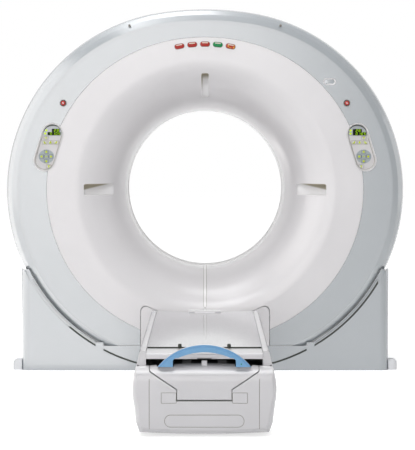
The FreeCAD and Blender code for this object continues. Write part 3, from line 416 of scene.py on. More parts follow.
def tray_plastic(name, code, disc):
    """The control trays' plastic, with the raised disc under the arrow keys in its own grey."""
    material = moulded_plastic(name, code)
    place = axes(material, object_point(material))
    across = reckon(material, "SUBTRACT", reckon(material, "ABSOLUTE", place["X"]), PANEL_X - DPAD_PLACE[0])
    above = reckon(material, "SUBTRACT", place["Z"], PANEL_Z + DPAD_PLACE[1])
    above = reckon(material, "MULTIPLY", DPAD_FLATTENING, above)
    square = reckon(material, "ADD", reckon(material, "MULTIPLY", across, across),
                    reckon(material, "MULTIPLY", above, above))
    within = reckon(material, "LESS_THAN", reckon(material, "SQRT", square), DPAD_RADIUS)
    raised = reckon(material, "LESS_THAN", place["Y"], DPAD_RAISED_Y)
    return repaint(material, reckon(material, "MULTIPLY", within, raised), disc)


def lamp_lens(name, code):
    """A tinted lens with small ribs inside and a clear skin."""
    material, shader = new_finish(name, Coat_Weight=0.12, Coat_Roughness=0.04, Roughness=0.35,
                                  Specular_IOR_Level=0.2, Subsurface_Weight=0.15, Subsurface_Scale=0.004)
    point = object_point(material)
    ribs = node(material, "TexWave", {"Vector": point, "Scale": 110.0, "Distortion": 0.4},
                bands_direction="X").outputs["Fac"]
    tone = colours(material, ribs, shaded(srgb(code), 0.82), shaded(srgb(code), 1.12))
    return surface(material, shader, tone, height=ribs, depth=0.15)


def tinted_window(name, code):
    """Grey display window: a printed film under a smooth hard coat."""
    material, shader = new_finish(name, Coat_Weight=1.0, Coat_Roughness=0.03)
    point = object_point(material)
    grain = mottle(material, point, scale=300.0)
    tone = toned(material, grain, code, 0.96, 1.03)
    return surface(material, shader, tone, between(material, grain, 0.18, 0.24))


def lit_print(name, code, glow):
    """Ink or a segment that shines a little, with a dotted screen. On ink the shine is painted light."""
    material, shader = new_finish(name, Roughness=0.6, Specular_IOR_Level=0.1, Emission_Color=srgb(code),
                                  Emission_Strength=glow)
    dots = node(material, "TexVoronoi", {"Vector": object_point(material), "Scale": 900.0})
    tone = colours(material, dots.outputs["Distance"], shaded(srgb(code), 1.1), shaded(srgb(code), 0.8))
    return surface(material, shader, tone)


def bore_film(name, code):
    """The thin window round the rotor's beam: a dull drum-tight film with faint hoops."""
    material, shader = new_finish(name, Sheen_Weight=0.1)
    point = object_point(material)
    hoops = node(material, "TexWave", {"Vector": point, "Scale": 9.0, "Distortion": 0.2},
                 bands_direction="Y").outputs["Fac"]
    tone = colours(material, hoops, shaded(srgb(code), 0.95), shaded(srgb(code), 1.03))
    dullness = between(material, mottle(material, point, scale=40.0), 0.5, 0.62)
    return surface(material, shader, tone, dullness, hoops, depth=0.05)


COVER_GREY = "7D858B"
COUCH_WHITE = "BFBEC1"
DEEP_SHADE = "15180F"
HANDLE_BLUE = "6A9CC5"
ENAMEL_GREY = "8E9398"

white_cover = sprayed_paint("white_cover_paint", "D8D6D8", 0.42, coat=1.47)
# the shell's grey, with painted light on its low shoulder behind the slit
ring_grey = belly_painted_light("ring_grey_paint", COVER_GREY, "F6F8FA")
side_grey = silver_paint("side_grey_paint", COVER_GREY)
# the base's grey, with painted shade on the lip behind the slit
base_grey = slit_painted_shade("base_grey_paint", COVER_GREY, "20261F")
couch_white = sprayed_paint("couch_white_paint", COUCH_WHITE, 0.4)
# the foot's grooves get painted shade on their floors
foot_white = colour_or_shade_where("foot_cover_paint", COUCH_WHITE, "7A7869", "Y", FOOT_GROOVE_Y, "LESS_THAN", -0.98,
                        FOOT_GROOVE_TOP_Z)
# painted shade along the seam below the keyed panel
foot_white = seam_shade(foot_white, KEYED_SEAM, "2B3024")
# the deck's top in the slot is painted black as painted shade
deck_white = colour_or_shade_where("couch_frame_paint", COUCH_WHITE, DEEP_SHADE, "Z", DECK_TOP_Z, "GREATER_THAN", 0.9)
# the end cap's underside is painted black as painted shade
cap_white = colour_or_shade_where("end_cap_paint", COUCH_WHITE, DEEP_SHADE, "Z", CAP_UNDER_Z, "LESS_THAN", -0.9)
arch_white = colour_or_shade_where("handle_paint", "D8D9DC", HANDLE_BLUE, "Y", HANDLE_FACE_Y, "LESS_THAN", -0.9)
table_top = lacquered_top("tabletop_lacquer", "8C8C92", "E6E5E7")
handle_blue = moulded_plastic("handle_blue_plastic", HANDLE_BLUE, 0.42)
panel_face = tray_plastic("panel_face_plastic", "CFCDCE", "A0A9AE")
panel_lip = sprayed_paint("panel_lip_paint", "F0F0F0", 0.3, 0.001)
key_rubber = moulded_plastic("key_silicone", "D8D7D6", 0.6, 1400.0)
dpad_grey = moulded_plastic("dpad_grey_plastic", "A3ABB2", 0.5)
dpad_frame_shade = moulded_plastic("dpad_frame_painted_shade", "788087", 0.6)
# dark plastic for real trim, and for the dark pieces laid as painted shade
dark_trim = moulded_plastic("dark_trim_plastic", "23281F", 0.55)
bezel_grey = moulded_plastic("bezel_grey_plastic", "77726C", 0.5)
# grey for the seals along the trays' feet, and for the painted shade round the plain keys
seal_grey = moulded_plastic("seal_grey_rubber", "A8A29A", 0.6)
# the recesses' plastic, with painted shadow and shade in it
recess_plastic = recess_shade("light_recess_plastic", "E8E7E8", "9E9785")
# the seam strip, with painted shade along its edges and end
strip_white = strip_paint("seam_strip_paint", "E6E5E6", "94918A")
display_window = tinted_window("display_window", "9FA5A9")
display_black = lit_print("display_black", "0B0D08", 0.0)
# the key prints are ink; their slight glow is painted light
key_ink = lit_print("key_green_print", "C6D818", 0.1)
digit_green = lit_print("digit_green_segment", "98CC00", 0.35)
led_green = lit_print("display_led_green", "C4E400", 0.4)
lens_red = lamp_lens("lamp_red_lens", "A82E26")
# pale paint for the painted highlight on each status lamp
highlight_paint = lamp_lens("lamp_highlight_paint", "DED8CA")
lens_green = lamp_lens("lamp_green_lens", "068248")
lens_amber = lamp_lens("lamp_amber_lens", "D9A32C")
stop_red = moulded_plastic("stop_red_plastic", "AE2C27", 0.4, 700.0, 0.04)
film = bore_film("bore_window_film", "F0F0EF")
frame_enamel = painted_casting("frame_enamel", ENAMEL_GREY)
floor_enamel = frame_paint("floor_frame_enamel", ENAMEL_GREY, "E2E3E6")
housing_enamel = painted_casting("tube_housing_enamel", "59616B")
column_paint = sprayed_paint("column_paint", "C9CBCD", 0.45)
steel = machined_metal("ground_steel", "B4B4B2")
aluminium = machined_metal("machined_aluminium", "C2C4C8", 0.38)

CAD_FINISHES = {
    "floor_frame": floor_enamel, "tilt_stands": frame_enamel, "base_front_cover": base_grey,
    "base_rear_cover": base_grey, "base_side_covers": side_grey, "couch_floor_column": column_paint,
    "tilt_frame": frame_enamel, "rotor_bearing": steel, "front_ring_cover": ring_grey,
    "front_funnel_cover": white_cover, "front_service_panel": white_cover, "gantry_side_shell": ring_grey,
    "rear_ring_cover": ring_grey, "rear_funnel_cover": white_cover, "bore_liner": film,
    "laser_windows": recess_plastic, "seam_strip": strip_white, "status_lamps": lens_red,
    "panel_housings": panel_face, "panel_displays": display_window, "stop_collars": bezel_grey,
    "badge_plate": side_grey, "rotor_drum": aluminium, "xray_tube": housing_enamel,
    "collimator": steel, "detector_array": aluminium, "rotor_power_units": housing_enamel,
    "couch_stage_lower": column_paint, "couch_stage_upper": column_paint, "couch_frame": deck_white,
    "couch_side_covers": couch_white, "couch_front_cover": foot_white, "couch_front_panel": couch_white,
    "tabletop": table_top, "tabletop_end_cap": cap_white, "end_handle": arch_white,
    "handle_face": handle_blue, "release_knobs": dark_trim,
}


def paint_frame():
    """Gives every CAD node its finish."""
    for name, part in nodes.items():
        finish = CAD_FINISHES.get(name)
        if finish is None:
            finish = stop_red if name.endswith("stop_button") else key_rubber
            if name.split("_", 1)[1] in [f"{key}_key" for key in DPAD_KEYS]:
                finish = dpad_grey
        part.data.materials.clear()
        part.data.materials.append(finish)


# ---- mesh helpers --------------------------------------------------------------------------

MOON_CUT = 0.02                  # share of a half circle that is cut off each point of a moon


def shares(count):
    """Even steps from 0 to 1."""
    return [k / count for k in range(count + 1)]


def soften(mesh, edges, width, segments=3):
    """Rounds edges of the mesh."""
    bmesh.ops.bevel(mesh, geom=edges, offset=width, offset_type="OFFSET", segments=segments, profile=0.5,
                    affect="EDGES", clamp_overlap=True, material=-1)


def pad(width, height, depth, corner, edge, steps=6):
    """A block with round corners and a soft front edge. Its front is at y 0 and faces -Y."""
    mesh = bmesh.new()
    bmesh.ops.create_cube(mesh, size=1.0)
    bmesh.ops.scale(mesh, vec=(width, depth, height), verts=mesh.verts)
    bmesh.ops.translate(mesh, vec=(0, depth / 2, 0), verts=mesh.verts)
    deep = [e for e in mesh.edges if abs(e.verts[0].co.y - e.verts[1].co.y) > depth / 2]
    soften(mesh, deep, corner, steps)
    soften(mesh, [e for e in mesh.edges if all(v.co.y < depth / 100 for v in e.verts)], edge)
    return mesh


def turned(profile, steps=48):
    """A form of revolution about Y from points (radius, y)."""
    mesh = bmesh.new()
    points = [mesh.verts.new((radius, y, 0)) for radius, y in profile]
    edges = [mesh.edges.new(pair) for pair in zip(points, points[1:])]
    bmesh.ops.spin(mesh, geom=points + edges, cent=(0, 0, 0), axis=(0, 1, 0), angle=math.tau, steps=steps,
                   use_merge=True)
    bmesh.ops.remove_doubles(mesh, verts=mesh.verts, dist=1e-6)
    bmesh.ops.recalc_face_normals(mesh, faces=mesh.faces)
    return mesh


def pill_loop(mesh, size, inset, y, steps=14):
    """A closed loop of edges round an upright pill, drawn in by inset, at the depth y."""
    length, width = size
    radius, half = width / 2 - inset, (length - width) / 2
    turns = [math.pi * k / steps for k in range(steps + 1)]
    ends = [(radius * math.cos(t), half + radius * math.sin(t)) for t in turns]
    ends += [(-x, -z) for x, z in ends]
    points = [mesh.verts.new((x, y, z)) for x, z in ends]
    return [mesh.edges.new(pair) for pair in zip(points, points[1:] + points[:1])]


def pill_ring(size, profile):
    """A ring round a pill from a closed profile of points (inset, y)."""
    mesh = bmesh.new()
    loops = [pill_loop(mesh, size, inset, y) for inset, y in profile]
    for first, second in zip(loops, loops[1:] + loops[:1]):
        bmesh.ops.bridge_loops(mesh, edges=first + second)
    bmesh.ops.recalc_face_normals(mesh, faces=mesh.faces)
    return mesh


def crescent(radius, shift, depth, steps=28):
    """A moon-shaped strip along the upper half of a circle, thickest towards shift."""
    mesh = bmesh.new()
    turns = [math.pi * (MOON_CUT + (1 - 2 * MOON_CUT) * part) for part in shares(steps)]
    outer = [mesh.verts.new((radius * math.cos(t), 0, radius * math.sin(t))) for t in turns]
    inner = [mesh.verts.new((radius * math.cos(t) - shift[0] * math.sin(t), 0,
                             radius * math.sin(t) - shift[1] * math.sin(t))) for t in turns]
    edges = [mesh.edges.new(pair) for row in (outer, inner) for pair in zip(row, row[1:])]
    made = bmesh.ops.bridge_loops(mesh, edges=edges)
    bmesh.ops.solidify(mesh, geom=made["faces"], thickness=depth)
    bmesh.ops.recalc_face_normals(mesh, faces=mesh.faces)
    return mesh


def bars(places, depth, lean=0.0):
    """Small bars from (x, z, width, height), slanted by lean. Their front is at y 0."""
    mesh = bmesh.new()
    for x, z, width, height in places:
        size = Matrix.Diagonal((width, depth, height, 1.0))
        bmesh.ops.create_cube(mesh, size=1.0, matrix=Matrix.Translation((x, depth / 2, z)) @ size)
    for corner in mesh.verts:
        corner.co.x += lean * corner.co.z
    soften(mesh, list(mesh.edges), depth / 4, segments=1)
    return mesh


def set_at(mesh, place, turn=0.0):
    """Turns the mesh about Y and moves it to its place."""
    bmesh.ops.rotate(mesh, cent=(0, 0, 0), matrix=Matrix.Rotation(turn, 3, "Y"), verts=mesh.verts)
    bmesh.ops.translate(mesh, vec=place, verts=mesh.verts)
    return mesh


def piece(name, mesh, finish, body, replaced=()):
    """Makes the mesh an object of the scanner that moves with its body."""
    data = bpy.data.meshes.new(name)
    mesh.to_mesh(data)
    mesh.free()
    data.polygons.foreach_set("use_smooth", [True] * len(data.polygons))
    data.set_sharp_from_angle(angle=math.radians(35))
    data.materials.append(finish)
    made = bpy.data.objects.new(name, data)
    bpy.context.scene.collection.objects.link(made)
    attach(made, body)
    if replaced:
        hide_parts(*replaced)
    return made


# ---- pieces on the gantry ------------------------------------------------------------------

BEZEL_OUT = 0.0015               # how far the lamps' parts stand out of the front
DOME_OUT = 0.006
LAMP_HIGHLIGHT_OUT = 0.0064
AMBER_OUT = 0.0066
LAMP_RIM = 0.002                 # the bezel is this much larger than the lamp, and the dome smaller
LAMP_HIGHLIGHT = (0.60, 0.19, 0.27)   # the painted highlight on each lens: length, width and rise above the middle, as shares of the lamp's size
AMBER_MARKS = ((-0.0130, 0.0, 0.007, 0.011), (0.0, -0.0085, 0.012, 0.0035),     # x, z, width and height
               (0.0185, -0.0045, 0.008, 0.009), (0.0205, 0.0055, 0.006, 0.004))


def add_status_lamps():
    """Five oblong lenses in dark bezels along the crown of the front, each with a pale bar on top as a
    painted highlight, the last with amber marks inside.
    """
    lenses = (lens_red, lens_red, lens_red, lens_green, lens_red)
    long, wide = LAMP_SIZE
    for number, (degrees, lens) in enumerate(zip(LAMP_ANGLES, lenses), 1):
        angle = math.radians(degrees)
        x, z = LAMP_RADIUS * math.cos(angle), AXIS_Z + LAMP_RADIUS * math.sin(angle)
        turn = math.pi / 2 - angle
        bezel = pad(long + LAMP_RIM, wide + LAMP_RIM, depth=0.004, corner=wide * 0.52, edge=0.001, steps=12)
        set_at(bezel, (x, FRONT_Y - BEZEL_OUT, z), turn)
        piece(f"lamp_bezel_{number}", bezel, bezel_grey, "gantry")
        dome = pad(long - LAMP_RIM, wide - LAMP_RIM, depth=0.010, corner=wide * 0.46, edge=0.0085, steps=12)
        set_at(dome, (x, FRONT_Y - DOME_OUT, z), turn)
        piece(f"lamp_lens_{number}", dome, lens, "gantry", ("status_lamps",))
        # a pale bar on the lens's top is a painted highlight
        length, width, rise = LAMP_HIGHLIGHT
        strip = pad(long * length, wide * width, depth=0.002, corner=wide * 0.09, edge=0.0006, steps=4)
        set_at(strip, (0, 0, wide * rise))
        set_at(strip, (x, FRONT_Y - LAMP_HIGHLIGHT_OUT, z), turn)
        piece(f"lamp_light_bar_{number}", strip, highlight_paint, "gantry")
    marks = set_at(bars(AMBER_MARKS, depth=0.001), (x, FRONT_Y - AMBER_OUT, z), turn)
    piece("lamp_amber_marks", marks, lens_amber, "gantry")


# places and sizes of a digit's seven segments, in digit widths and heights from its middle
SEGMENTS = {"a": (0.0, 0.5), "b": (0.5, 0.25), "c": (0.5, -0.25), "d": (0.0, -0.5), "e": (-0.5, -0.25),
            "f": (-0.5, 0.25), "g": (0.0, 0.0)}
FLAT_SEGMENT = (0.95, 0.16)
UPRIGHT_SEGMENT = (0.30, 0.46)
LIT = {"0": "abcdef", "1": "bc", "2": "abdeg", "5": "acdfg", "8": "abcdefg"}


def digits(text, width, height, pitch):
    """Bars of seven-segment digits, centred."""
    places = []
    for number, digit in enumerate(text):
        middle = (number - (len(text) - 1) / 2) * pitch
        for segment in LIT.get(digit, ""):
            x, z = SEGMENTS[segment]
            across, above = FLAT_SEGMENT if segment in "adg" else UPRIGHT_SEGMENT
            places.append((middle + x * width, z * height, across * width, above * height))
    return places


# display contents from the panel's middle: places of the lamps, then window centre, size and digits
DISPLAYS = {
    "left": (((-0.0120, 0.0955), (-0.0185, 0.0775)),
             ((0.0405, 0.0950, 0.044, 0.0185, "28"), (0.0315, 0.0765, 0.073, 0.0180, "0105"))),
    "right": (((-0.0610, 0.0940), (-0.0615, 0.0765)),
              ((-0.0235, 0.0935, 0.050, 0.0185, "28"), (-0.0105, 0.0760, 0.076, 0.0180, "0105"))),
}


def panel_piece(name, mesh, finish, side, x, y, z):
    """Sets a mesh at a place on one control panel, counted from its middle."""
    sign = -1 if side == "left" else 1
    set_at(mesh, (sign * PANEL_X + x, y, PANEL_Z + z))
    return piece(f"{side}_{name}", mesh, finish, "gantry")


# cross-sections of the rings round the trays, as points (inset, y)
LIP_SECTION = ((0.0, -0.4795), (0.0006, -0.4822), (0.0022, -0.4830), (0.0038, -0.4824),
               (0.0098, -0.4708), (0.0104, -0.4695), (0.0, -0.4695))
SEAL_SECTION = ((0.0102, -0.4737), (0.0120, -0.4737), (0.0120, -0.4698), (0.0102, -0.4698))


def add_panel_rims():
    """Smooth lips round the trays, which slope down to their floors, and seals along their feet."""
    for side, sign in SIDES:
        for name, section, finish, slot in (("panel_lip", LIP_SECTION, panel_lip, "panel_tray"),
                                            ("panel_seal", SEAL_SECTION, seal_grey, "dark_trim")):
            ring = set_at(pill_ring(PANEL_SIZE, section), (sign * PANEL_X, 0, PANEL_Z), -sign * PANEL_LEAN)
            piece(f"{side}_{name}", ring, finish, "gantry")


LED_Y = -0.4732
WINDOW_Y = -0.4743
DIGITS_Y = -0.4749
SHADE_Y = -0.4750
SHADE_RADIUS = 0.0528
DIGIT_SIZE = (0.42, 0.72)        # of the window's height
DIGIT_PITCH = 0.86
DIGIT_LEAN = 0.12
DIGIT_SHIFT = 0.08               # the digits stand right of the middle, by this much of the width
LED_PROFILE = ((0, -0.0022), (0.0035, -0.0018), (0.0058, 0.0), (0.0058, 0.001), (0, 0.001))


def add_displays():
    """Black windows with lit digits, two small lamps and the shade below each tray's upper end."""
    for side, sign in SIDES:
        lamps, windows = DISPLAYS[side]
        for number, (x, z) in enumerate(lamps, 1):
            lamp = turned(LED_PROFILE, steps=20)
            panel_piece(f"display_led_{number}", lamp, led_green, side, x, LED_Y, z)
        for number, (x, z, width, height, text) in enumerate(windows, 1):
            glass = pad(width, height, depth=0.0014, corner=0.002, edge=0.0004, steps=2)
            panel_piece(f"display_window_{number}", glass, display_black, side, x, WINDOW_Y, z)
            across, above = (height * part for part in DIGIT_SIZE)
            lit = bars(digits(text, across, above, height * DIGIT_PITCH), depth=0.0006, lean=DIGIT_LEAN)
            panel_piece(f"display_digits_{number}", lit, digit_green, side,
                        x + width * DIGIT_SHIFT, DIGITS_Y, z)
        # a dark crescent as painted shade below the tray's upper end
        shade = crescent(SHADE_RADIUS, shift=(0.002 * sign, 0.0058), depth=0.003)
        panel_piece("display_shade", shade, dark_trim, side, -sign * PANEL_TOP[0], SHADE_Y,
                    PANEL_TOP[1])


# bars (x, z, width, height) of the prints, from the key's middle
ARROW = ((0, -0.001, 0.0125, 0.0065), (0, 0.0045, 0.0065, 0.005))
ARROW_TURNS = {"up": 0.0, "down": math.pi, "out": -math.pi / 2, "in": math.pi / 2}
PRINTS = {
    "light": ((0, 0, 0.0125, 0.0045), (0, 0.0042, 0.0045, 0.0045), (0, -0.0042, 0.0045, 0.0045)),
    "tilt_back": ((-0.002, 0.0, 0.007, 0.0125), (0.0045, -0.0035, 0.0055, 0.0055)),
    "home": ((0, -0.0025, 0.0125, 0.0075), (0, 0.004, 0.0068, 0.0055)),
    "tilt_forward": ((0.002, 0.0, 0.007, 0.0125), (-0.0045, -0.0035, 0.0055, 0.0055)),
    "fast": ((0, 0, 0.0115, 0.0025), (-0.0035, 0, 0.003, 0.008), (0.0035, 0, 0.003, 0.008)),
    "unload": ((0, 0.0038, 0.0125, 0.0045), (0, -0.0028, 0.0065, 0.0065)),
}
PRINT_LEANS = {"tilt_back": -0.3, "tilt_forward": 0.3}
PRINT_DEPTH = 0.0005
PRINT_OUT = 0.0003               # the prints stand this far out of their keys
# dark bars as painted shade in the slots between the arrow keys
DPAD_SLOTS = ((-0.0138, 0, 0.0035, 0.015), (0.0138, 0, 0.0035, 0.015))
DPAD_SLOT_Y = -0.4721
KEY_FRAME_Y = -0.4708
DPAD_FRAME_Y = -0.4722
FRAME_GAP = 0.0008               # between a key's edge and its frame
FRAME_LINE = 0.0016              # and the width of the frame's bars
TRIM_DEPTH = 0.0008


def key_mark(key):
    """The raised print of one key, about the origin, with its front at y 0."""
    if key in ARROW_TURNS:
        return set_at(bars(ARROW, PRINT_DEPTH), (0, 0, 0), ARROW_TURNS[key])
    return bars(PRINTS[key], PRINT_DEPTH, PRINT_LEANS.get(key, 0.0))


def key_frame(side, key):
    """Four bars round one key's hole, as painted shade in the gap round the key."""
    low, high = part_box(f"{side}_{key}_key")
    x, z = (low.x + high.x) / 2, (low.z + high.z) / 2
    across = (high.x - low.x + FRAME_LINE) / 2 + FRAME_GAP
    above = (high.z - low.z + FRAME_LINE) / 2 + FRAME_GAP
    places = [(x, z + way * above, 2 * across + FRAME_LINE, FRAME_LINE) for way in (-1, 1)]
    return places + [(x + way * across, z, FRAME_LINE, 2 * above - FRAME_LINE) for way in (-1, 1)]


def add_key_marks():
    """Yellow-green prints that ride on the keys, frame bars round them and dark bars in the slots between
    them, both as painted shade.
    """
    plain_keys = [key for key in KEYS if key not in DPAD_KEYS]
    for side, sign in SIDES:
        for name, keys, front, finish in (("key_frames", plain_keys, KEY_FRAME_Y, seal_grey),
                                          ("dpad_frames", ARROW_TURNS, DPAD_FRAME_Y, dpad_frame_shade)):
            frames = bars([place for key in keys for place in key_frame(side, key)], TRIM_DEPTH)
            piece(f"{side}_{name}", set_at(frames, (0, front, 0)), finish, "gantry")
        for key in KEYS:
            low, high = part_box(f"{side}_{key}_key")
            mark = set_at(key_mark(key), ((low.x + high.x) / 2, low.y - PRINT_OUT, (low.z + high.z) / 2))
            piece(f"{side}_{key}_mark", mark, key_ink, f"{side}_{key}_key")
        slots = bars(DPAD_SLOTS, TRIM_DEPTH)
        panel_piece("dpad_slots", slots, dark_trim, side, -sign * DPAD_PLACE[0], DPAD_SLOT_Y,
                    DPAD_PLACE[1])


BADGE_SECTION = ((0.0, -0.4801), (0.0012, -0.4806), (0.0075, -0.4762), (0.0075, -0.4745), (0.0, -0.4745))
BADGE_RIM = 0.013                # the dish's floor is this much smaller than the dish
BADGE_FLOOR_Y = -0.4764


def add_badge_dish():
    """The blank plate at the upper right as a shallow dish with a raised white rim."""
    long, wide = (size - BADGE_RIM for size in BADGE_SIZE)
    x, z = BADGE_PLACE
    dish = set_at(pill_ring(BADGE_SIZE, BADGE_SECTION), (x, 0, z), math.pi / 2)
    piece("badge_lip", dish, white_cover, "gantry")
    plate = pad(long, wide, depth=0.004, corner=wide * 0.49, edge=0.0008)
    set_at(plate, (x, BADGE_FLOOR_Y, z))
    piece("badge_face", plate, side_grey, "gantry", ("badge_plate",))


SEAM_SHADE_BAR = (0, 0.3718, 0.519, 0.0112)      # painted shade along the seam between tabletop and end cap: x, z, width and height
SEAM_SHADE_BAR_Y = -2.8927
KNOB_CAP_PLACE = (0.112, -2.902, 0.3724)
HANDLE_LAMP_PLACE = (0.164, -3.1582, 0.327)
PLUG_PLACE = (0.426, -0.4745, 1.952)
KNOB_CAP_PROFILE = ((0, -0.0192), (0.0062, -0.0186), (0.0082, -0.0165), (0.0088, -0.012), (0.0088, -0.002),
                    (0.0078, 0.0), (0, 0.0))
HANDLE_LAMP_PROFILE = ((0, -0.0008), (0.002, -0.0006), (0.0032, 0.0), (0.0032, 0.0006), (0, 0.0006))
PLUG_PROFILE = ((0, -0.0016), (0.005, -0.0013), (0.0068, 0.0), (0.0068, 0.006), (0, 0.006))


def mirrored(place, sign):
    """A place on one side of the middle plane, from the place on the right."""
    return (sign * place[0], *place[1:])


def add_couch_trim():
    """A dark bar as painted shade along the seam between tabletop and end cap, caps on the latch pins and
    the handle's lamp.
    """
    # a dark bar as painted shade in the seam
    shade_bar = set_at(bars([SEAM_SHADE_BAR], depth=0.0024), (0, SEAM_SHADE_BAR_Y, 0))
    piece("table_seam_shade_bar", shade_bar, dark_trim, "table")
    for side, sign in SIDES:
        cap = turned(KNOB_CAP_PROFILE, steps=24)
        bmesh.ops.rotate(cap, cent=(0, 0, 0), matrix=Matrix.Rotation(-math.pi / 2, 3, "X"), verts=cap.verts)
        set_at(cap, mirrored(KNOB_CAP_PLACE, sign))
        piece(f"{side}_knob_cap", cap, dark_trim, "table")
    lamp = set_at(turned(HANDLE_LAMP_PROFILE, steps=20), HANDLE_LAMP_PLACE)
    piece("handle_lamp", lamp, lens_green, "table")


def add_shoulder_marks():
    """Two small grey screw plugs high on the gantry's shoulder."""
    for side, sign in SIDES:
        plug = set_at(turned(PLUG_PROFILE, steps=24), mirrored(PLUG_PLACE, sign))
        piece(f"{side}_shoulder_plug", plug, bezel_grey, "gantry")


def shell_drop(x, inset):
    """How far below the tilt axis the shell's outline is at x, or None beyond its side."""
    half_width, half_height, crown = (size - inset for size in SHELL)
    rise, run = crown - half_height, crown - half_width
    middle = (rise ** 2 - run ** 2) / (2 * run)
    if x > half_width:
        return None
    join = middle / math.hypot(middle, rise) * crown
    if x < join:
        return AXIS_Z - SHELL_MIDDLE_Z - rise + math.sqrt(crown ** 2 - x ** 2)
    return AXIS_Z - SHELL_MIDDLE_Z + math.sqrt((half_width - middle) ** 2 - (x - middle) ** 2)


def swing_drop(x, back_y):
    """How far below the tilt axis the tilting shell leaves room at x, as deep as back_y."""
    reach = 0.0
    for (near, near_inset), (far, far_inset) in zip(SHOULDER, SHOULDER[1:]):
        for part in shares(8):
            depth = near + (far - near) * part
            drop = shell_drop(x, near_inset + (far_inset - near_inset) * part)
            if drop is not None:
                reach = max(reach, math.hypot(depth, drop))
    return math.sqrt((reach + SWING_CLEARANCE) ** 2 - back_y ** 2)


def slit_strip(name, sign, stations):
    """A thin plate beside the slit from (x, front y, back y, lower z) at each station."""
    mesh = bmesh.new()
    rows = []
    cut_depth, cut_height = STRIP_CHAMFER
    for x, front, back, low in stations:
        high = min(AXIS_Z - swing_drop(x, back), BASE_TOP_Z)
        outline = ((front, low), (front, high - cut_height), (front + cut_depth, high),
                   (back, high), (back, low))
        rows.append([mesh.verts.new((sign * x, y, z)) for y, z in outline])
    for first, second in zip(rows, rows[1:]):
        for n in range(5):
            mesh.faces.new((first[n], second[n], second[(n + 1) % 5], first[(n + 1) % 5]))
    mesh.faces.new(rows[0])
    mesh.faces.new(rows[-1])
    bmesh.ops.recalc_face_normals(mesh, faces=mesh.faces)
    piece(name, mesh, side_grey, "base")


def base_front_y(x):
    """Front face of the base, whose upright corners are round."""
    beyond = max(0.0, x - BASE_CORNER[0])
    return FRONT_Y + BASE_CORNER[1] - math.sqrt(BASE_CORNER[1] ** 2 - beyond ** 2)


def add_slit_strips():
    """Lips that close the front beside the slit up to where the shell swings, and their upper ends."""
    for side, sign in SIDES:
        lip, closer = [], []
        for part in shares(40):
            x = APRON_X[0] + (APRON_X[1] - APRON_X[0]) * part
            lip.append((x, FRONT_Y, APRON_BACK_Y, AXIS_Z - shell_drop(x, APRON_EDGE)))
        for part in shares(12):
            x = CLOSER_X[0] + (CLOSER_X[1] - CLOSER_X[0]) * part
            front = base_front_y(x) + CLOSER_DEPTH
            closer.append((x, front, front + CLOSER_THICK, AXIS_Z - shell_drop(x, -CLOSER_THICK)))
        slit_strip(f"{side}_apron_lip", sign, lip)
        slit_strip(f"{side}_slit_closer", sign, closer)


# profiles of the buttons' parts: a share of the button's radius, and y from its front
STOP_HEAD = ((0, 0.0015), (0.34, 0.001), (0.42, 0.0), (0.62, 0.0004), (0.80, 0.0025), (0.86, 0.0065),
             (0.86, 0.0110), (0.80, 0.0125), (0.45, 0.0125))
STOP_STEM = 0.45
# the pale spot in each head's hollow is a painted highlight
STOP_HIGHLIGHT_SPOT = ((0, 0.0004), (0.22, 0.0003), (0.26, 0.0030), (0, 0.0030))


def add_stop_buttons():
    """Mushroom heads on their stems, each with a pale spot in a shallow hollow as a painted highlight."""
    for side, sign in SIDES:
        button = f"{side}_stop_button"
        low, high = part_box(f"{side}_stop_button")
        radius = (high.x - low.x) / 2
        head = [(radius * part, low.y + y) for part, y in STOP_HEAD]
        head += [(radius * STOP_STEM, high.y), (0, high.y)]
        highlight_spot = [(radius * part, low.y + y) for part, y in STOP_HIGHLIGHT_SPOT]
        place = (sign * STOP_X, 0, STOP_Z)
        piece(f"{side}_stop_head", set_at(turned(head), place), stop_red, button, (button,))
        piece(f"{side}_stop_dimple", set_at(turned(highlight_spot, 24), place), panel_lip, button)


# ---- camera, lights and floor --------------------------------------------------------------

CAMERA_PLACE = (0.014, -12.8, 1.375)
CAMERA_DOWN = math.radians(2.55)
CAMERA_LENS = 174.4              # in mm
CAMERA_SENSOR = 36.0
FLOOR_SIZE = 30.0
FLOOR_GLOW = 0.68                # with its light from the lamps this shows as white
SKY_FILL = 0.395
WARM = (1.0, 0.965, 0.94)
WHITE = (1.0, 1.0, 1.0)

# name, place, the point that it faces, size and power
SOFTBOXES = (
    ("key_softbox", (-0.6, -5.6, 5.8), (0, 0, 1.0), (3.0, 3.0), 158),
    ("top_softbox", (-1.1, -0.5, 6.5), (0, 0, 0.8), (4.0, 4.0), 175),
    ("low_softbox", (-0.4, -13.5, 0.6), (0, 0, 1.3), (3.5, 1.0), 215),
)
SHEEN_CARDS = (
    ("front_card", (-3.0, -14.0, 3.8), (-3.0, 0, 3.8), (8.2, 8.0), 392, WARM),
    ("left_card", (-8.0, -4.5, 4.5), (0, -4.5, 4.5), (16.0, 10.0), 960, WARM),
    ("floor_card", (-4.2, -6.3, 0.012), (-4.2, -6.299, 5.0), (7.5, 11.4), 240, WARM),
    ("side_floor_card", (-4.7, 1.2, 0.012), (-4.7, 1.201, 5.0), (6.8, 3.5), 110, WARM),
    ("right_card", (8.0, 1.5, 2.0), (0, 1.5, 2.0), (3.0, 5.0), 30, WHITE),
)


def add_camera():
    """A camera far off in front, a little above the bore axis and turned down slightly."""
    data = bpy.data.cameras.new("camera")
    data.lens = CAMERA_LENS
    data.sensor_width = CAMERA_SENSOR
    camera = bpy.data.objects.new("camera", data)
    camera.location = CAMERA_PLACE
    camera.rotation_euler = (math.pi / 2 - CAMERA_DOWN, 0, 0)
    bpy.context.scene.collection.objects.link(camera)
    bpy.context.scene.camera = camera


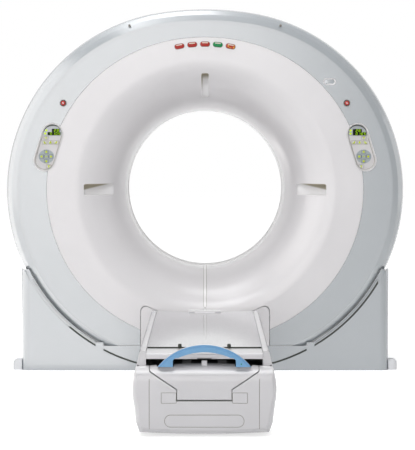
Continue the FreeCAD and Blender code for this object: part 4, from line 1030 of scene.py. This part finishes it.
def add_softbox(name, place, aim, size, power, tint=WHITE):
    """A rectangular lamp that faces the point aim."""
    data = bpy.data.lights.new(name, "AREA")
    data.color = tint
    data.shape = "RECTANGLE"
    data.size, data.size_y = size
    data.energy = power
    lamp = bpy.data.objects.new(name, data)
    lamp.location = place
    lamp.rotation_euler = (Vector(aim) - Vector(place)).to_track_quat("-Z", "Y").to_euler()
    bpy.context.scene.collection.objects.link(lamp)
    return lamp


def add_lamps():
    """Softboxes that light the covers, and cards that only show as a soft shine in their paint."""
    for settings in SOFTBOXES:
        add_softbox(*settings)
    bpy.data.objects["low_softbox"].visible_glossy = False
    for settings in SHEEN_CARDS:
        card = add_softbox(*settings)
        card.visible_diffuse = False
        card.visible_camera = False


def seen_directly(material):
    """1 for rays that show the backdrop itself, and 0 for rays that light the object."""
    path = node(material, "LightPath").outputs
    kinds = [path[f"Is {kind} Ray"] for kind in ("Camera", "Glossy", "Transmission")]
    return fold(material, "MAXIMUM", *kinds)


def add_floor():
    """A wide pale floor that keeps the shadow and otherwise shows white."""
    mesh = bmesh.new()
    bmesh.ops.create_grid(mesh, x_segments=1, y_segments=1, size=FLOOR_SIZE)
    data = bpy.data.meshes.new("studio_floor")
    mesh.to_mesh(data)
    mesh.free()
    material, shader = new_finish("studio_floor_white", Base_Color=srgb("EAEAEA"), Roughness=0.9,
                                  Emission_Color=srgb("FFFFFF"))
    glow = reckon(material, "MULTIPLY", seen_directly(material), FLOOR_GLOW)
    material.node_tree.links.new(glow, shader.inputs["Emission Strength"])
    data.materials.append(material)
    floor = bpy.data.objects.new("studio_floor", data)
    bpy.context.scene.collection.objects.link(floor)


def add_sky():
    """White where it is seen, and a plain grey fill for the light on the object."""
    world = bpy.data.worlds.new("studio_sky")
    world.use_nodes = True
    bpy.context.scene.world = world
    background = world.node_tree.nodes["Background"]
    background.inputs["Color"].default_value = (1, 1, 1, 1)
    strength = node(world, "MapRange", {"Value": seen_directly(world), "To Min": SKY_FILL, "To Max": 1.0})
    world.node_tree.links.new(strength.outputs["Result"], background.inputs["Strength"])


def add_studio():
    """Camera, floor, sky and lamps, and a view that shows colours as they are."""
    add_camera()
    add_floor()
    add_sky()
    add_lamps()
    bpy.context.scene.view_settings.view_transform = "Standard"


paint_frame()
add_status_lamps()
add_stop_buttons()
add_panel_rims()
add_displays()
add_key_marks()
add_badge_dish()
add_couch_trim()
add_shoulder_marks()
add_slit_strips()
add_studio()
